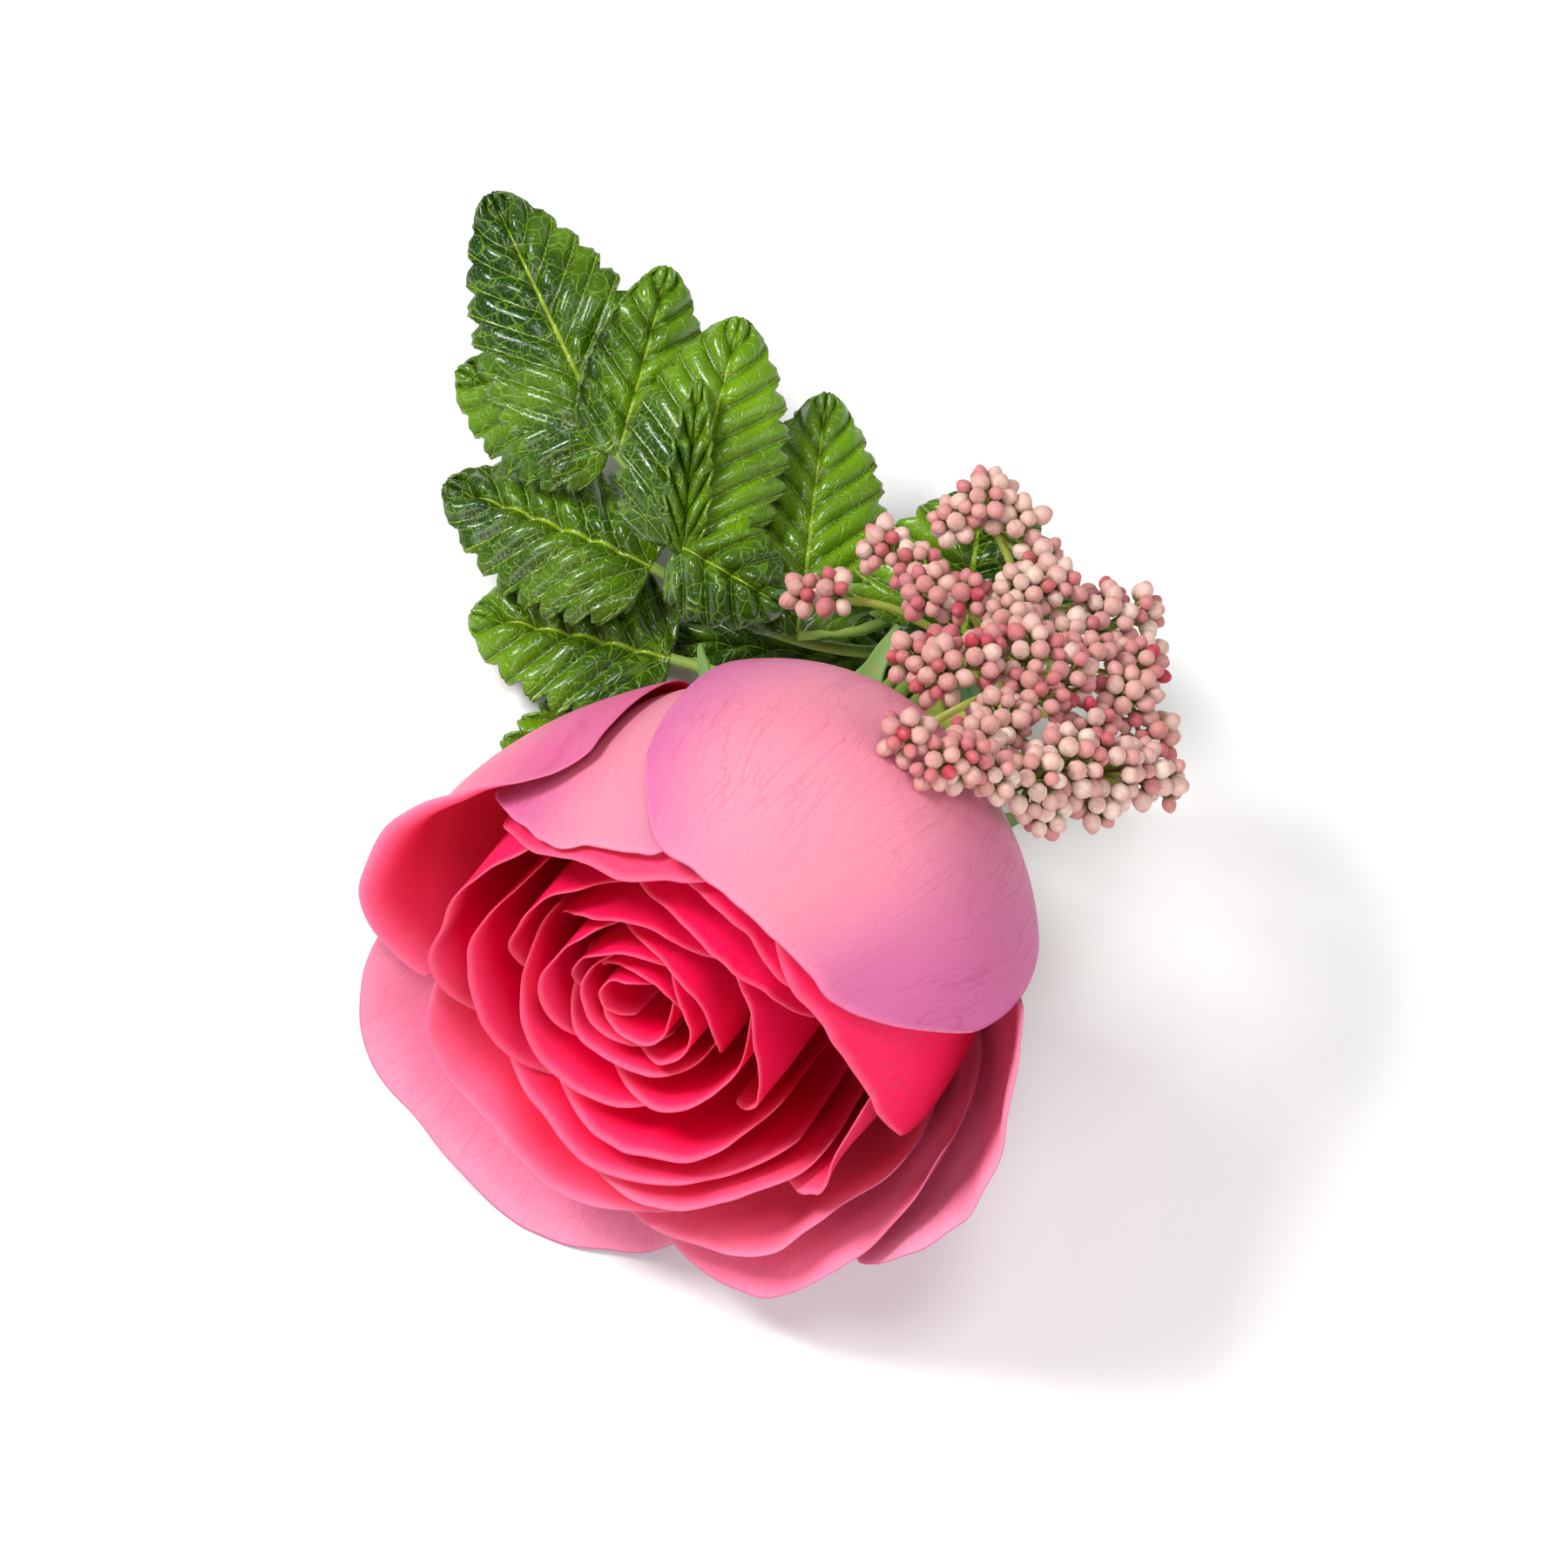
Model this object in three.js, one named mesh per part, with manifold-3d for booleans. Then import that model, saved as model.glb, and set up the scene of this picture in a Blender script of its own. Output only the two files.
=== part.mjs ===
// A cut rose with a spray of lobed leaves and a spray of rice-flower buds, bound at the stems and
// lying on its side. Millimetres, +Z up. The posy lies on the plane z = 0, its leaves towards +Y and
// the open bloom facing -Y and up.
import * as THREE from 'three';
import { mergeVertices } from 'three/addons/utils/BufferGeometryUtils.js';
import Module from 'manifold-3d';

const wasm = await Module();
wasm.setup();

// ---- Driving dimensions ----

const BLOOM_RADIUS = 48; // bloom axis to the rim of the outermost, most open petal
const BLOOM_HEIGHT = 52; // petal bases to the highest rim
const PETAL_THICKNESS = 0.3;
const BLOOM_RISE = 27; // degrees that the bloom's axis climbs from the table
const BLOOM_TURN = 29; // degrees that it turns from -Y towards -X

const HIP_RADIUS = 6.2;
const HIP_LENGTH = 11;
const SEPAL_LENGTH = 21;
const SEPAL_HALF_WIDTH = 3.2;
const SEPAL_THICKNESS = 0.5;

const STEM_RADIUS = 2.5;
const STEM_LENGTH = 46; // below the hip
const SPRAY_STALK_RADIUS = 1.3;
const BRANCH_RADIUS = 0.5;
const BUD_RADIUS = 1.4;
const PETIOLE_RADIUS = 0.9;
const LEAF_THICKNESS = 0.5;
const BINDING_LENGTH = 9;
const BINDING_WALL = 0.7;
const GAP = 0.35; // clearance kept between touching pieces

// The dome under the petals and the spray round them spread with the bloom. Their points are for a
// radius of 48.
const SPREAD = BLOOM_RADIUS / 48;

const SIDES = 8;

// ---- Small helpers ----

const rad = THREE.MathUtils.degToRad;
const vec = (a) => new THREE.Vector3(...a);
const mixed = (a, b, k) => a.map((x, i) => x + (b[i] - x) * k);

const root = new THREE.Group();

function material(colour, roughness) {
  return new THREE.MeshStandardMaterial({ color: colour, roughness, metalness: 0, side: THREE.DoubleSide });
}
const PETAL = material(0xe8366a, 0.55);
const LEAF = material(0x2c6a12, 0.3);
const GREEN_STEM = material(0x5d8a2a, 0.5);
const BUDS = material(0xe3a3a3, 0.6);
const TAPE = material(0x3d6b2c, 0.6);

function add(name, geometry, look, parent = root) {
  const mesh = new THREE.Mesh(geometry, look);
  mesh.name = name;
  parent.add(mesh);
  return mesh;
}

// A curve through points, read at a share of its length between 0 and 1, that runs on a little past
// both ends.
function through(points, share) {
  const spans = points.length - 1;
  const x = share * spans;
  const i = Math.min(spans - 1, Math.max(0, Math.floor(x)));
  const f = x - i;
  const p1 = points[i];
  const p2 = points[i + 1];
  const p0 = i > 0 ? points[i - 1] : p1.map((a, k) => 2 * a - p2[k]);
  const p3 = i + 2 <= spans ? points[i + 2] : p2.map((a, k) => 2 * a - p1[k]);
  return p1.map((_, k) => 0.5 * (2 * p1[k] + (p2[k] - p0[k]) * f
    + (2 * p0[k] - 5 * p1[k] + 4 * p2[k] - p3[k]) * f * f
    + (3 * p1[k] - p0[k] - 3 * p2[k] + p3[k]) * f * f * f));
}

// A thin closed solid around the sheet point(across -1..1, along 0..1).
function sheetSolid(point, across, along, thickness) {
  const columns = across + 1;
  const count = columns * (along + 1);
  const step = 1e-3;
  const front = [];
  const back = [];
  for (let j = 0; j <= along; j++) {
    for (let i = 0; i < columns; i++) {
      const t = -1 + (2 * i) / across;
      const s = j / along;
      const p = point(t, s);
      const du = point(t + step, s).sub(point(t - step, s));
      const dv = point(t, s + step).sub(point(t, s - step));
      const n = du.cross(dv).normalize().multiplyScalar(thickness / 2);
      front.push(...p.clone().add(n).toArray());
      back.push(...p.clone().sub(n).toArray());
    }
  }
  const faces = [];
  const quad = (a, b, c, d) => faces.push(a, b, c, a, c, d);
  for (let j = 0; j < along; j++) {
    for (let i = 0; i < across; i++) {
      const a = j * columns + i;
      quad(a, a + 1, a + 1 + columns, a + columns);
      quad(count + a, count + a + columns, count + a + 1 + columns, count + a + 1);
    }
  }
  const rim = [];
  for (let i = 0; i < across; i++) rim.push(i);
  for (let j = 0; j < along; j++) rim.push(j * columns + across);
  for (let i = across; i > 0; i--) rim.push(along * columns + i);
  for (let j = along; j > 0; j--) rim.push(j * columns);
  rim.forEach((a, k) => {
    const b = rim[(k + 1) % rim.length];
    quad(b, a, count + a, count + b);
  });
  const geometry = new THREE.BufferGeometry();
  geometry.setAttribute('position', new THREE.Float32BufferAttribute([...front, ...back], 3));
  geometry.setIndex(faces);
  geometry.computeVertexNormals();
  return geometry;
}

// A tube along a smooth curve, closed at both ends.
function tube(points, radius, steps) {
  const section = new THREE.Shape();
  for (let i = 0; i < SIDES; i++) {
    const angle = (2 * Math.PI * i) / SIDES;
    const x = radius * Math.cos(angle);
    const y = radius * Math.sin(angle);
    if (i) section.lineTo(x, y);
    else section.moveTo(x, y);
  }
  const path = new THREE.CatmullRomCurve3(points.map(vec));
  return new THREE.ExtrudeGeometry(section, { steps, bevelEnabled: false, extrudePath: path });
}

function solidOf(geometry) {
  const bare = new THREE.BufferGeometry();
  bare.setAttribute('position', geometry.getAttribute('position').clone());
  if (geometry.index) bare.setIndex(geometry.index.clone());
  const merged = mergeVertices(bare, 1e-4);
  return new wasm.Manifold(new wasm.Mesh({
    numProp: 3,
    vertProperties: merged.attributes.position.array,
    triVerts: new Uint32Array(merged.index.array),
  }));
}

function geometryOf(solid) {
  const mesh = solid.getMesh();
  const geometry = new THREE.BufferGeometry();
  geometry.setAttribute('position', new THREE.BufferAttribute(mesh.vertProperties, 3));
  geometry.setIndex(new THREE.BufferAttribute(mesh.triVerts, 1));
  geometry.computeVertexNormals();
  return geometry;
}

const joined = (geometries) => geometryOf(geometries.map(solidOf).reduce((a, b) => a.add(b)));

// ---- Bloom ----
// The bloom's own frame has its origin at the petals' seat, +Z out of the open face, +Y its upper side.
// Angles run counter-clockwise from +X as seen by someone who faces the bloom.

// Petal outlines in the plane of the axis, as [radius, height] shares from base to rim, one row for
// each depth. Depth 0 is the heart of the bloom and 1 its outside. The closed side cups inwards and
// the open side flares.
const DEPTHS = [0, 0.33, 0.66, 0.85, 1];
const CLOSED_SIDE = [
  [[0.021, 0.173], [0.046, 0.423], [0.054, 0.692], [0.050, 0.846]],
  [[0.050, 0.115], [0.188, 0.385], [0.219, 0.654], [0.198, 0.904]],
  [[0.083, 0.058], [0.417, 0.288], [0.458, 0.654], [0.375, 0.942]],
  [[0.110, 0.029], [0.604, 0.231], [0.688, 0.635], [0.490, 0.981]],
  [[0.135, 0.000], [0.708, 0.192], [0.865, 0.615], [0.563, 1.000]],
];
const OPEN_SIDE = [
  [[0.021, 0.173], [0.046, 0.423], [0.054, 0.692], [0.058, 0.827]],
  [[0.050, 0.115], [0.177, 0.365], [0.219, 0.635], [0.240, 0.865]],
  [[0.083, 0.058], [0.375, 0.269], [0.448, 0.596], [0.500, 0.875]],
  [[0.110, 0.029], [0.458, 0.192], [0.583, 0.538], [0.667, 0.846]],
  [[0.135, 0.000], [0.563, 0.154], [0.792, 0.462], [1.000, 0.712]],
];
const CLOSED_AT = 72; // degrees round the axis where the bloom cups inwards most
const FLAT_AT = 130; // degrees round the axis where the bloom's outside is flattest
const FLAT_HALF_WIDTH = 65;
const FLATNESS = 0.19; // share of the radius that the outermost petal loses there
const HEART_SHIFT = [-3.5, -1.7]; // how far the heart leans from the axis

// depth, centre and half width in degrees. open adds to how far the petal flares, twist adds more at
// one edge, roll turns its rim back, rim moves the rim outwards, and square is how flat its end is.
const OUTER_PETALS = {
  guard_right: { at: 66, half: 45, depth: 1.0, square: 5, round: 0.2 },
  guard_top: { at: 119, half: 38, depth: 0.905, reach: 0.96, rim: 1 },
  guard_left: { at: 171, half: 45, depth: 0.957, open: -0.05, twist: -0.05, roll: 5, rim: 1 },
  guard_lower_left: { at: 242, half: 39, depth: 1.0, roll: 2, rim: 1.5, square: 4 },
  guard_lower_right: { at: 352, half: 28, depth: 1.0, open: 0.32, roll: 2, rim: 5, square: 4 },
  guard_bottom: { at: 311, half: 39, depth: 0.94, open: 0.08, roll: 1.5, rim: 1.5 },
  wide_lower_left: { at: 246, half: 46, depth: 0.85, roll: 1.5, rim: 2, square: 4 },
  wide_bottom: { at: 300, half: 42, depth: 0.895, reach: 0.97, roll: 1.5 },
  wide_right: { at: 37, half: 48, depth: 0.885, reach: 0.98 },
  wide_left: { at: 182, half: 46, depth: 0.80, roll: 1 },
  wide_top: { at: 112, half: 48, depth: 0.84, reach: 0.98, rim: 1 },
  mid_bottom: { at: 288, half: 46, depth: 0.76, roll: 1 },
  mid_right: { at: 343, half: 31, depth: 0.81, open: 0.1, roll: 1.5 },
  mid_top: { at: 62, half: 48, depth: 0.78, roll: 1 },
  mid_lower_left: { at: 270, half: 56, depth: 0.717, roll: 1, rim: -1 },
};
const INNER_COUNT = 17;
const GOLDEN_ANGLE = 137.5;

const seatHeight = (share) => share * BLOOM_HEIGHT;
const clamp = THREE.MathUtils.clamp;

function outline(side, depth) {
  const i = Math.max(0, DEPTHS.findIndex((d) => d >= depth) - 1);
  const k = (depth - DEPTHS[i]) / (DEPTHS[i + 1] - DEPTHS[i]);
  return side[i].map((p, n) => mixed(p, side[i + 1][n], k));
}

function petalPoint(petal, t, s) {
  const { at, half, depth, open = 0, roll = 0, rim = 0, reach = 0.98, round = 0.2, square = 2.6, twist = 0 } = petal;
  const widening = 0.3 + 0.7 * Math.sin((Math.PI / 2) * clamp(s / 0.62, 0, 1)) ** 1.15;
  const angle = at + half * widening * t;
  const flare = clamp(0.5 - 0.5 * Math.cos(rad(angle - CLOSED_AT)) + open + twist * t, 0, 1.2);
  const points = outline(CLOSED_SIDE, depth).map((p, i) => mixed(p, outline(OPEN_SIDE, depth)[i], flare));
  points[3][0] += rim / BLOOM_RADIUS;
  points[2][0] += (0.35 * rim) / BLOOM_RADIUS;
  const end = 1 - round * Math.abs(t) ** square;
  const [radiusShare, heightShare] = through(points, s * end * reach);
  const turned = Math.max(0, s - 0.78) / 0.22;
  const rolled = roll * (1 - 0.7 * t * t);
  const fromFlat = clamp((angle - FLAT_AT) / FLAT_HALF_WIDTH, -1, 1);
  const flattened = 1 - FLATNESS * depth ** 2 * clamp(3 * s, 0, 1) * Math.cos((Math.PI / 2) * fromFlat) ** 2;
  const r = radiusShare * BLOOM_RADIUS * flattened + 0.9 * rolled * turned ** 2;
  const h = seatHeight(heightShare) - rolled * turned ** 3;
  const lean = (1 - depth) ** 1.5 * clamp(heightShare / 0.77, 0, 1);
  return new THREE.Vector3(
    r * Math.cos(rad(angle)) + HEART_SHIFT[0] * lean,
    r * Math.sin(rad(angle)) + HEART_SHIFT[1] * lean,
    h,
  );
}

// The heart is a spiral: each petal sits a golden angle from the last, and wraps further round as it
// gets smaller.
function innerPetal(i) {
  const depth = 0.672 * (1 - i / (INNER_COUNT + 0.5));
  return {
    at: 202 - GOLDEN_ANGLE * i + 8 * Math.sin(2.3 * i),
    half: 46 + 75 * (1 - depth / 0.7) ** 1.3,
    depth,
    reach: 0.97 + 0.02 * Math.sin(1.7 * i),
    roll: depth,
  };
}

const bloomAxis = new THREE.Vector3(
  -Math.cos(rad(BLOOM_RISE)) * Math.sin(rad(BLOOM_TURN)),
  -Math.cos(rad(BLOOM_RISE)) * Math.cos(rad(BLOOM_TURN)),
  Math.sin(rad(BLOOM_RISE)),
);
const bloomUp = new THREE.Vector3(0, 0, 1).addScaledVector(bloomAxis, -bloomAxis.z).normalize();
const bloomRight = bloomUp.clone().cross(bloomAxis);
const bloom = new THREE.Group();
bloom.quaternion.setFromRotationMatrix(new THREE.Matrix4().makeBasis(bloomRight, bloomUp, bloomAxis));
root.add(bloom);

function addPetal(name, petal) {
  add(name, sheetSolid((t, s) => petalPoint(petal, t, s), 7, 6, PETAL_THICKNESS), PETAL, bloom);
}
for (const [name, petal] of Object.entries(OUTER_PETALS)) addPetal(`petal_${name}`, petal);
for (let i = 0; i < INNER_COUNT; i++) addPetal(`petal_heart_${String(i + 1).padStart(2, '0')}`, innerPetal(i));


// ---- Hip, sepals and stem ----

// The petals' seat is a small dome just under their bases, and the hip swells below it.
const HIP_OUTLINE = [
  [0, 0.163], [0.6, 0.155], [2.0, 0.098], [3.6, 0.040], [5.0, 0.014], [6.1, -0.014],
].map(([r, share]) => [r * SPREAD, share * BLOOM_HEIGHT]).concat([
  [HIP_RADIUS, -2.2], [HIP_RADIUS * 0.98, -0.4 * HIP_LENGTH], [HIP_RADIUS * 0.75, -0.75 * HIP_LENGTH],
  [STEM_RADIUS, -HIP_LENGTH], [0, -HIP_LENGTH],
]);
const hipProfile = HIP_OUTLINE.map(([r, h]) => new THREE.Vector2(r, h)).reverse();
const hipGeometry = new THREE.LatheGeometry(hipProfile, 16).rotateX(Math.PI / 2);
add('hip', hipGeometry, GREEN_STEM, bloom);

// A sepal springs from under the petals and bends back towards the stem.
function sepalPoint(at, t, s) {
  const half = SEPAL_HALF_WIDTH * (0.18 + 0.95 * Math.sin(Math.PI * clamp(s, 0, 1) ** 0.7)) * (1 - 0.35 * s);
  const out = HIP_RADIUS + GAP + SEPAL_THICKNESS + 0.82 * SEPAL_LENGTH * s;
  const back = -2.4 + 1.5 * Math.sin(Math.PI * s) - 0.42 * SEPAL_LENGTH * s * s + 1.2 * t * t * (1 - s);
  const angle = rad(at);
  return new THREE.Vector3(
    out * Math.cos(angle) - half * t * Math.sin(angle),
    out * Math.sin(angle) + half * t * Math.cos(angle),
    back,
  );
}
const SEPAL_COUNT = 5;
for (let i = 0; i < SEPAL_COUNT; i++) {
  const at = 18 + (360 / SEPAL_COUNT) * i;
  add(`sepal_${i + 1}`, sheetSolid((t, s) => sepalPoint(at, t, s), 4, 6, SEPAL_THICKNESS), LEAF, bloom);
}

// The bloom rests on its lowest petals, so the height of the seat follows from them.
bloom.updateMatrixWorld(true);
const bloomBox = new THREE.Box3().setFromObject(bloom, true);
bloom.position.z = -bloomBox.min.z;
const seat = bloom.position.clone();

// A point in the bloom's frame, in the layout's frame.
const fromBloom = (right, up, out) => seat.clone()
  .addScaledVector(bloomRight, right).addScaledVector(bloomUp, up).addScaledVector(bloomAxis, out);

// The stem runs straight back from the hip and bends to lie along the table.
const STEM_STRAIGHT = 34; // from the hip to where it starts to bend
const stemTop = -HIP_LENGTH - GAP;
const stemBend = fromBloom(0, 0, stemTop - STEM_STRAIGHT);
const levelBack = new THREE.Vector3(-bloomAxis.x, -bloomAxis.y, 0).normalize();
const stemEnd = stemBend.clone().addScaledVector(levelBack, STEM_LENGTH - STEM_STRAIGHT).setZ(STEM_RADIUS);
const stemPath = [0, 0.4, 0.8, 1]
  .map((share) => fromBloom(0, 0, stemTop - share * STEM_STRAIGHT))
  .concat([stemEnd]);
add('rose_stem', tube(stemPath.map((p) => p.toArray()), STEM_RADIUS, 14), GREEN_STEM);

// ---- Binding ----
// Every stalk lies along the straight of the stem, in a slot of its own round it, inside a band of tape.

const BINDING_AT = -30.5; // middle of the band along the bloom's axis
const BINDING_BORE = STEM_RADIUS + 2 * SPRAY_STALK_RADIUS + 2.6 * GAP;
const bandProfile = [
  [BINDING_BORE, -0.5], [BINDING_BORE + BINDING_WALL, -0.5], [BINDING_BORE + BINDING_WALL, 0.5],
  [BINDING_BORE, 0.5], [BINDING_BORE, -0.5],
].map(([r, share]) => new THREE.Vector2(r, share * BINDING_LENGTH));
const band = add('binding', new THREE.LatheGeometry(bandProfile, 20).rotateX(Math.PI / 2), TAPE, bloom);
band.position.z = BINDING_AT;

// The straight of a bound stalk, in its slot. It leaves the band towards the bloom (way 1) or away
// from it (way -1).
const BUTT = 3; // how far a cut end stands out of the band
function boundPart(at, radius, way) {
  const reach = STEM_RADIUS + 1.3 * GAP + radius;
  const reaches = [-BINDING_LENGTH / 2 - BUTT, 0, BINDING_LENGTH / 2, BINDING_LENGTH / 2 + 2];
  return reaches.map((along) => fromBloom(
    reach * Math.cos(rad(at)), reach * Math.sin(rad(at)), BINDING_AT + way * along,
  ));
}

// ---- Leaves ----
// Points are [x, y] from the binding and z above the table, for a binding at BINDING_HEIGHT. If the
// bloom holds the binding higher or lower, the leaves follow it, and those near the table follow it
// less.

const BINDING_HEIGHT = 14;
const bindingMiddle = fromBloom(0, 0, BINDING_AT);
function onTable([x, y, z]) {
  const lift = (bindingMiddle.z - BINDING_HEIGHT) * clamp(z / BINDING_HEIGHT, 0, 1);
  return new THREE.Vector3(bindingMiddle.x + x, bindingMiddle.y + y, z + lift);
}
const LEAF_FACES = new THREE.Vector3(0, -0.35, 0.94); // the way the blades face

// A blade about its midrib. bow lifts the middle of the midrib, cup lifts the two edges, lean tilts
// the blade sideways.
function bladePoint(blade, t, s) {
  const { base, tip, half, bow = 0, cup = 0, lean = 0, widest = 0.75 } = blade;
  const start = onTable(base);
  const chord = onTable(tip).sub(start);
  const facing = LEAF_FACES.clone().applyAxisAngle(chord.clone().normalize(), rad(lean));
  const normal = facing.clone().addScaledVector(chord, -facing.dot(chord) / chord.lengthSq()).normalize();
  const side = chord.clone().cross(normal).normalize();
  const width = half * (0.1 + 0.9 * Math.sin(Math.PI * clamp(s, 0, 1) ** widest) ** 0.75);
  return start.addScaledVector(chord, s)
    .addScaledVector(normal, 4 * bow * s * (1 - s) + cup * width * t * t)
    .addScaledVector(side, width * t);
}

const LEAVES = {
  leaf_upper: {
    slot: 136,
    bend: [[-6, 13.2, 12], [-18, 20, 13.5], [-33, 26, 17.5]],
    blades: [
      { base: [-38, 31, 19], tip: [-52.5, 62, 25], half: 9.8, bow: 1.5, cup: -0.2, widest: 0.7 },
      { base: [-37, 29.5, 19], tip: [-31, 52, 25], half: 7.8, bow: 1, cup: -0.25, lean: 8 },
      { base: [-37.5, 31, 19], tip: [-56.3, 43, 14.5], half: 8.2, bow: 1.5, cup: -0.25, lean: 6 },
    ],
  },
  leaf_right: {
    slot: 102,
    bend: [[-2, 9.8, 19.2], [-14, 10.5, 22.5]],
    blades: [
      { base: [-29, 14.5, 24], tip: [-22, 42, 31], half: 9.3, bow: 2, cup: -0.3 },
      { base: [-29.5, 15, 24], tip: [-16.5, 7, 23], half: 6.6, bow: 1.5, cup: -0.35 },
      { base: [-29, 14, 24], tip: [-27, 32.5, 34], half: 2.6, bow: 1, cup: 0.3 },
    ],
  },
  leaf_left: {
    slot: 170,
    bend: [[-7, 8, 8.8], [-20, 11, 10]],
    blades: [{ base: [-32.8, 17.6, 12.6], tip: [-58, 29.6, 10], half: 9.6, bow: 1, cup: -0.3, lean: 16 }],
  },
  leaf_lower_left: {
    slot: 204,
    bend: [[-6, 5.5, 7], [-18, 5, 6]],
    blades: [{ base: [-30.5, 8.5, 5.8], tip: [-55, 14.5, 5], half: 9.6, bow: 0.8, cup: -0.1, lean: 17 }],
  },
  leaf_low: {
    slot: 238,
    bend: [[-5, 4.5, 4.8], [-18, -0.5, 3.4]],
    blades: [{ base: [-36, 2, 2.6], tip: [-54, -16.5, 2.2], half: 8.4, bow: 0.3, cup: -0.05, lean: 18 }],
  },
  leaf_shade: {
    slot: 272,
    bend: [[2, 8.5, 4.5]],
    blades: [{ base: [-0.5, 9, 2.2], tip: [-31.5, 13, 2], half: 6, bow: 0.2, cup: -0.05, lean: 19 }],
  },
  leaf_back: {
    slot: 68,
    bend: [[3.2, 11.4, 14.8], [-7, 7.6, 15.8]],
    blades: [{ base: [-15, 6, 17.5], tip: [-11.5, 37, 20], half: 9, bow: 1, cup: -0.25 }],
  },
  leaf_round: {
    slot: 351,
    bend: [[12, 6, 12]],
    blades: [{ base: [5, 4, 22], tip: [7.5, 20.5, 28], half: 12.5, bow: 1.5, cup: -0.12, widest: 0.62 }],
  },
};

for (const [name, leaf] of Object.entries(LEAVES)) {
  const stalk = [
    ...boundPart(leaf.slot, PETIOLE_RADIUS, -1),
    ...leaf.bend.map(onTable),
    onTable(leaf.blades[0].base),
  ];
  const pieces = [tube(stalk.map((p) => p.toArray()), PETIOLE_RADIUS, 14)];
  for (const blade of leaf.blades) {
    pieces.push(sheetSolid((t, s) => bladePoint(blade, t, s), 6, 8, LEAF_THICKNESS));
  }
  add(name, joined(pieces), LEAF);
}

// ---- Rice-flower spray ----
// Points are x, y and z from the petals' seat.

const fromSeat = (x, y, z) => new THREE.Vector3(x, y, z).multiplyScalar(SPREAD).add(seat);
// Each node of buds is a few rounded heads that run into each other, as [x, y, z, radius].
const BUD_HEADS = [
  [[20.5, 32.5, 22, 3.8], [17.5, 30, 20.5, 3.4], [24.5, 30, 20.5, 3.4]],
  [[8.5, 28, 18, 3.4], [12, 24.5, 20, 3.2]],
  [[-1, 23.2, 15, 2.6], [2.2, 22.8, 16, 3]],
  [[14, 18.5, 25, 3.8], [18, 17.5, 25.5, 3.2]],
  [[25, 18.5, 25, 3.6], [29, 20.5, 23, 3.2]],
  [[35, 18, 19, 3.8], [39, 20, 17, 3.2]],
  [[15, 4.5, 33, 4], [11.5, 6.5, 32, 3], [19, 5.5, 33.5, 3.4]],
  [[25.5, 8, 30, 4.4], [29.5, 5.5, 29, 4.2], [26.5, 2, 31.5, 3.8]],
  [[38.5, 10.5, 21, 3.8], [37, 5.5, 23.5, 4.2], [40, 2, 20.5, 3.6]],
  [[10.6, -12, 50, 3.2], [14.5, -15.3, 49, 3.2], [17.5, -14, 47, 3.4]],
  [[29.5, -8, 33, 5], [34.5, -7, 29, 4.6], [25.5, -12, 37, 4.2], [38.5, -5, 24.5, 4]],
];
const BRANCH_BOW = 6; // how far the branches bow away from the bloom
const sprayFork = fromSeat(24, 14, 2);

// A rounded, slightly flattened head with a bump for each bud. It faces away from the fork and up.
function budHead([x, y, z, radius], first) {
  const fromFirst = new THREE.Vector3(x - first[0], y - first[1], z - first[2]);
  const centre = fromSeat(...first.slice(0, 3)).add(fromFirst);
  const out = centre.clone().sub(sprayFork).normalize().add(new THREE.Vector3(0, 0, 0.6)).normalize();
  const buds = [];
  const count = Math.round(3.2 * (radius / BUD_RADIUS) ** 2);
  for (let i = 0; i < count; i++) {
    const h = 1 - (2 * (i + 0.5)) / count;
    const r = Math.sqrt(1 - h * h);
    buds.push(new THREE.Vector3(r * Math.cos(rad(GOLDEN_ANGLE * i)), r * Math.sin(rad(GOLDEN_ANGLE * i)), h));
  }
  const ball = new THREE.IcosahedronGeometry(1, 2).deleteAttribute('uv').deleteAttribute('normal');
  const geometry = mergeVertices(ball, 1e-4);
  const position = geometry.getAttribute('position');
  const p = new THREE.Vector3();
  for (let i = 0; i < position.count; i++) {
    p.fromBufferAttribute(position, i).normalize();
    const nearest = Math.max(...buds.map((b) => b.dot(p)));
    p.multiplyScalar(radius * (0.82 + 0.18 * nearest ** 24));
    p.addScaledVector(out, -0.25 * p.dot(out)).add(centre);
    position.setXYZ(i, p.x, p.y, p.z);
  }
  return { geometry, foot: centre.clone().addScaledVector(out, -0.78 * radius), out };
}

// Each node of buds stands on one branch, which ends just short of its first head.
const stalkPieces = [
  tube([...boundPart(30, SPRAY_STALK_RADIUS, 1), sprayFork].map((p) => p.toArray()), SPRAY_STALK_RADIUS, 10),
];
BUD_HEADS.forEach((heads, i) => {
  const made = heads.map((head) => budHead(head, heads[0]));
  add(`buds_${String(i + 1).padStart(2, '0')}`, joined(made.map((head) => head.geometry)), BUDS);
  const tip = made[0].foot.clone().addScaledVector(made[0].out, -GAP);
  const fromAxis = tip.clone().sub(seat);
  fromAxis.addScaledVector(bloomAxis, -fromAxis.dot(bloomAxis)).normalize();
  const bend = sprayFork.clone().lerp(tip, 0.5).addScaledVector(fromAxis, BRANCH_BOW * SPREAD);
  stalkPieces.push(tube([sprayFork, bend, tip].map((q) => q.toArray()), BRANCH_RADIUS, 6));
});
add('spray_stalk', joined(stalkPieces), GREEN_STEM);

// The frame's origin is on the table, under the middle of the posy.
root.updateMatrixWorld(true);
const bounds = new THREE.Box3().setFromObject(root, true);
const foot = bounds.getCenter(new THREE.Vector3()).setZ(bounds.min.z);
for (const child of root.children) child.position.sub(foot);

export default root;
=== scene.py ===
"""A cut rose bound with lobed leaves and a spray of rice-flower buds, lying on a pale table."""

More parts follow.
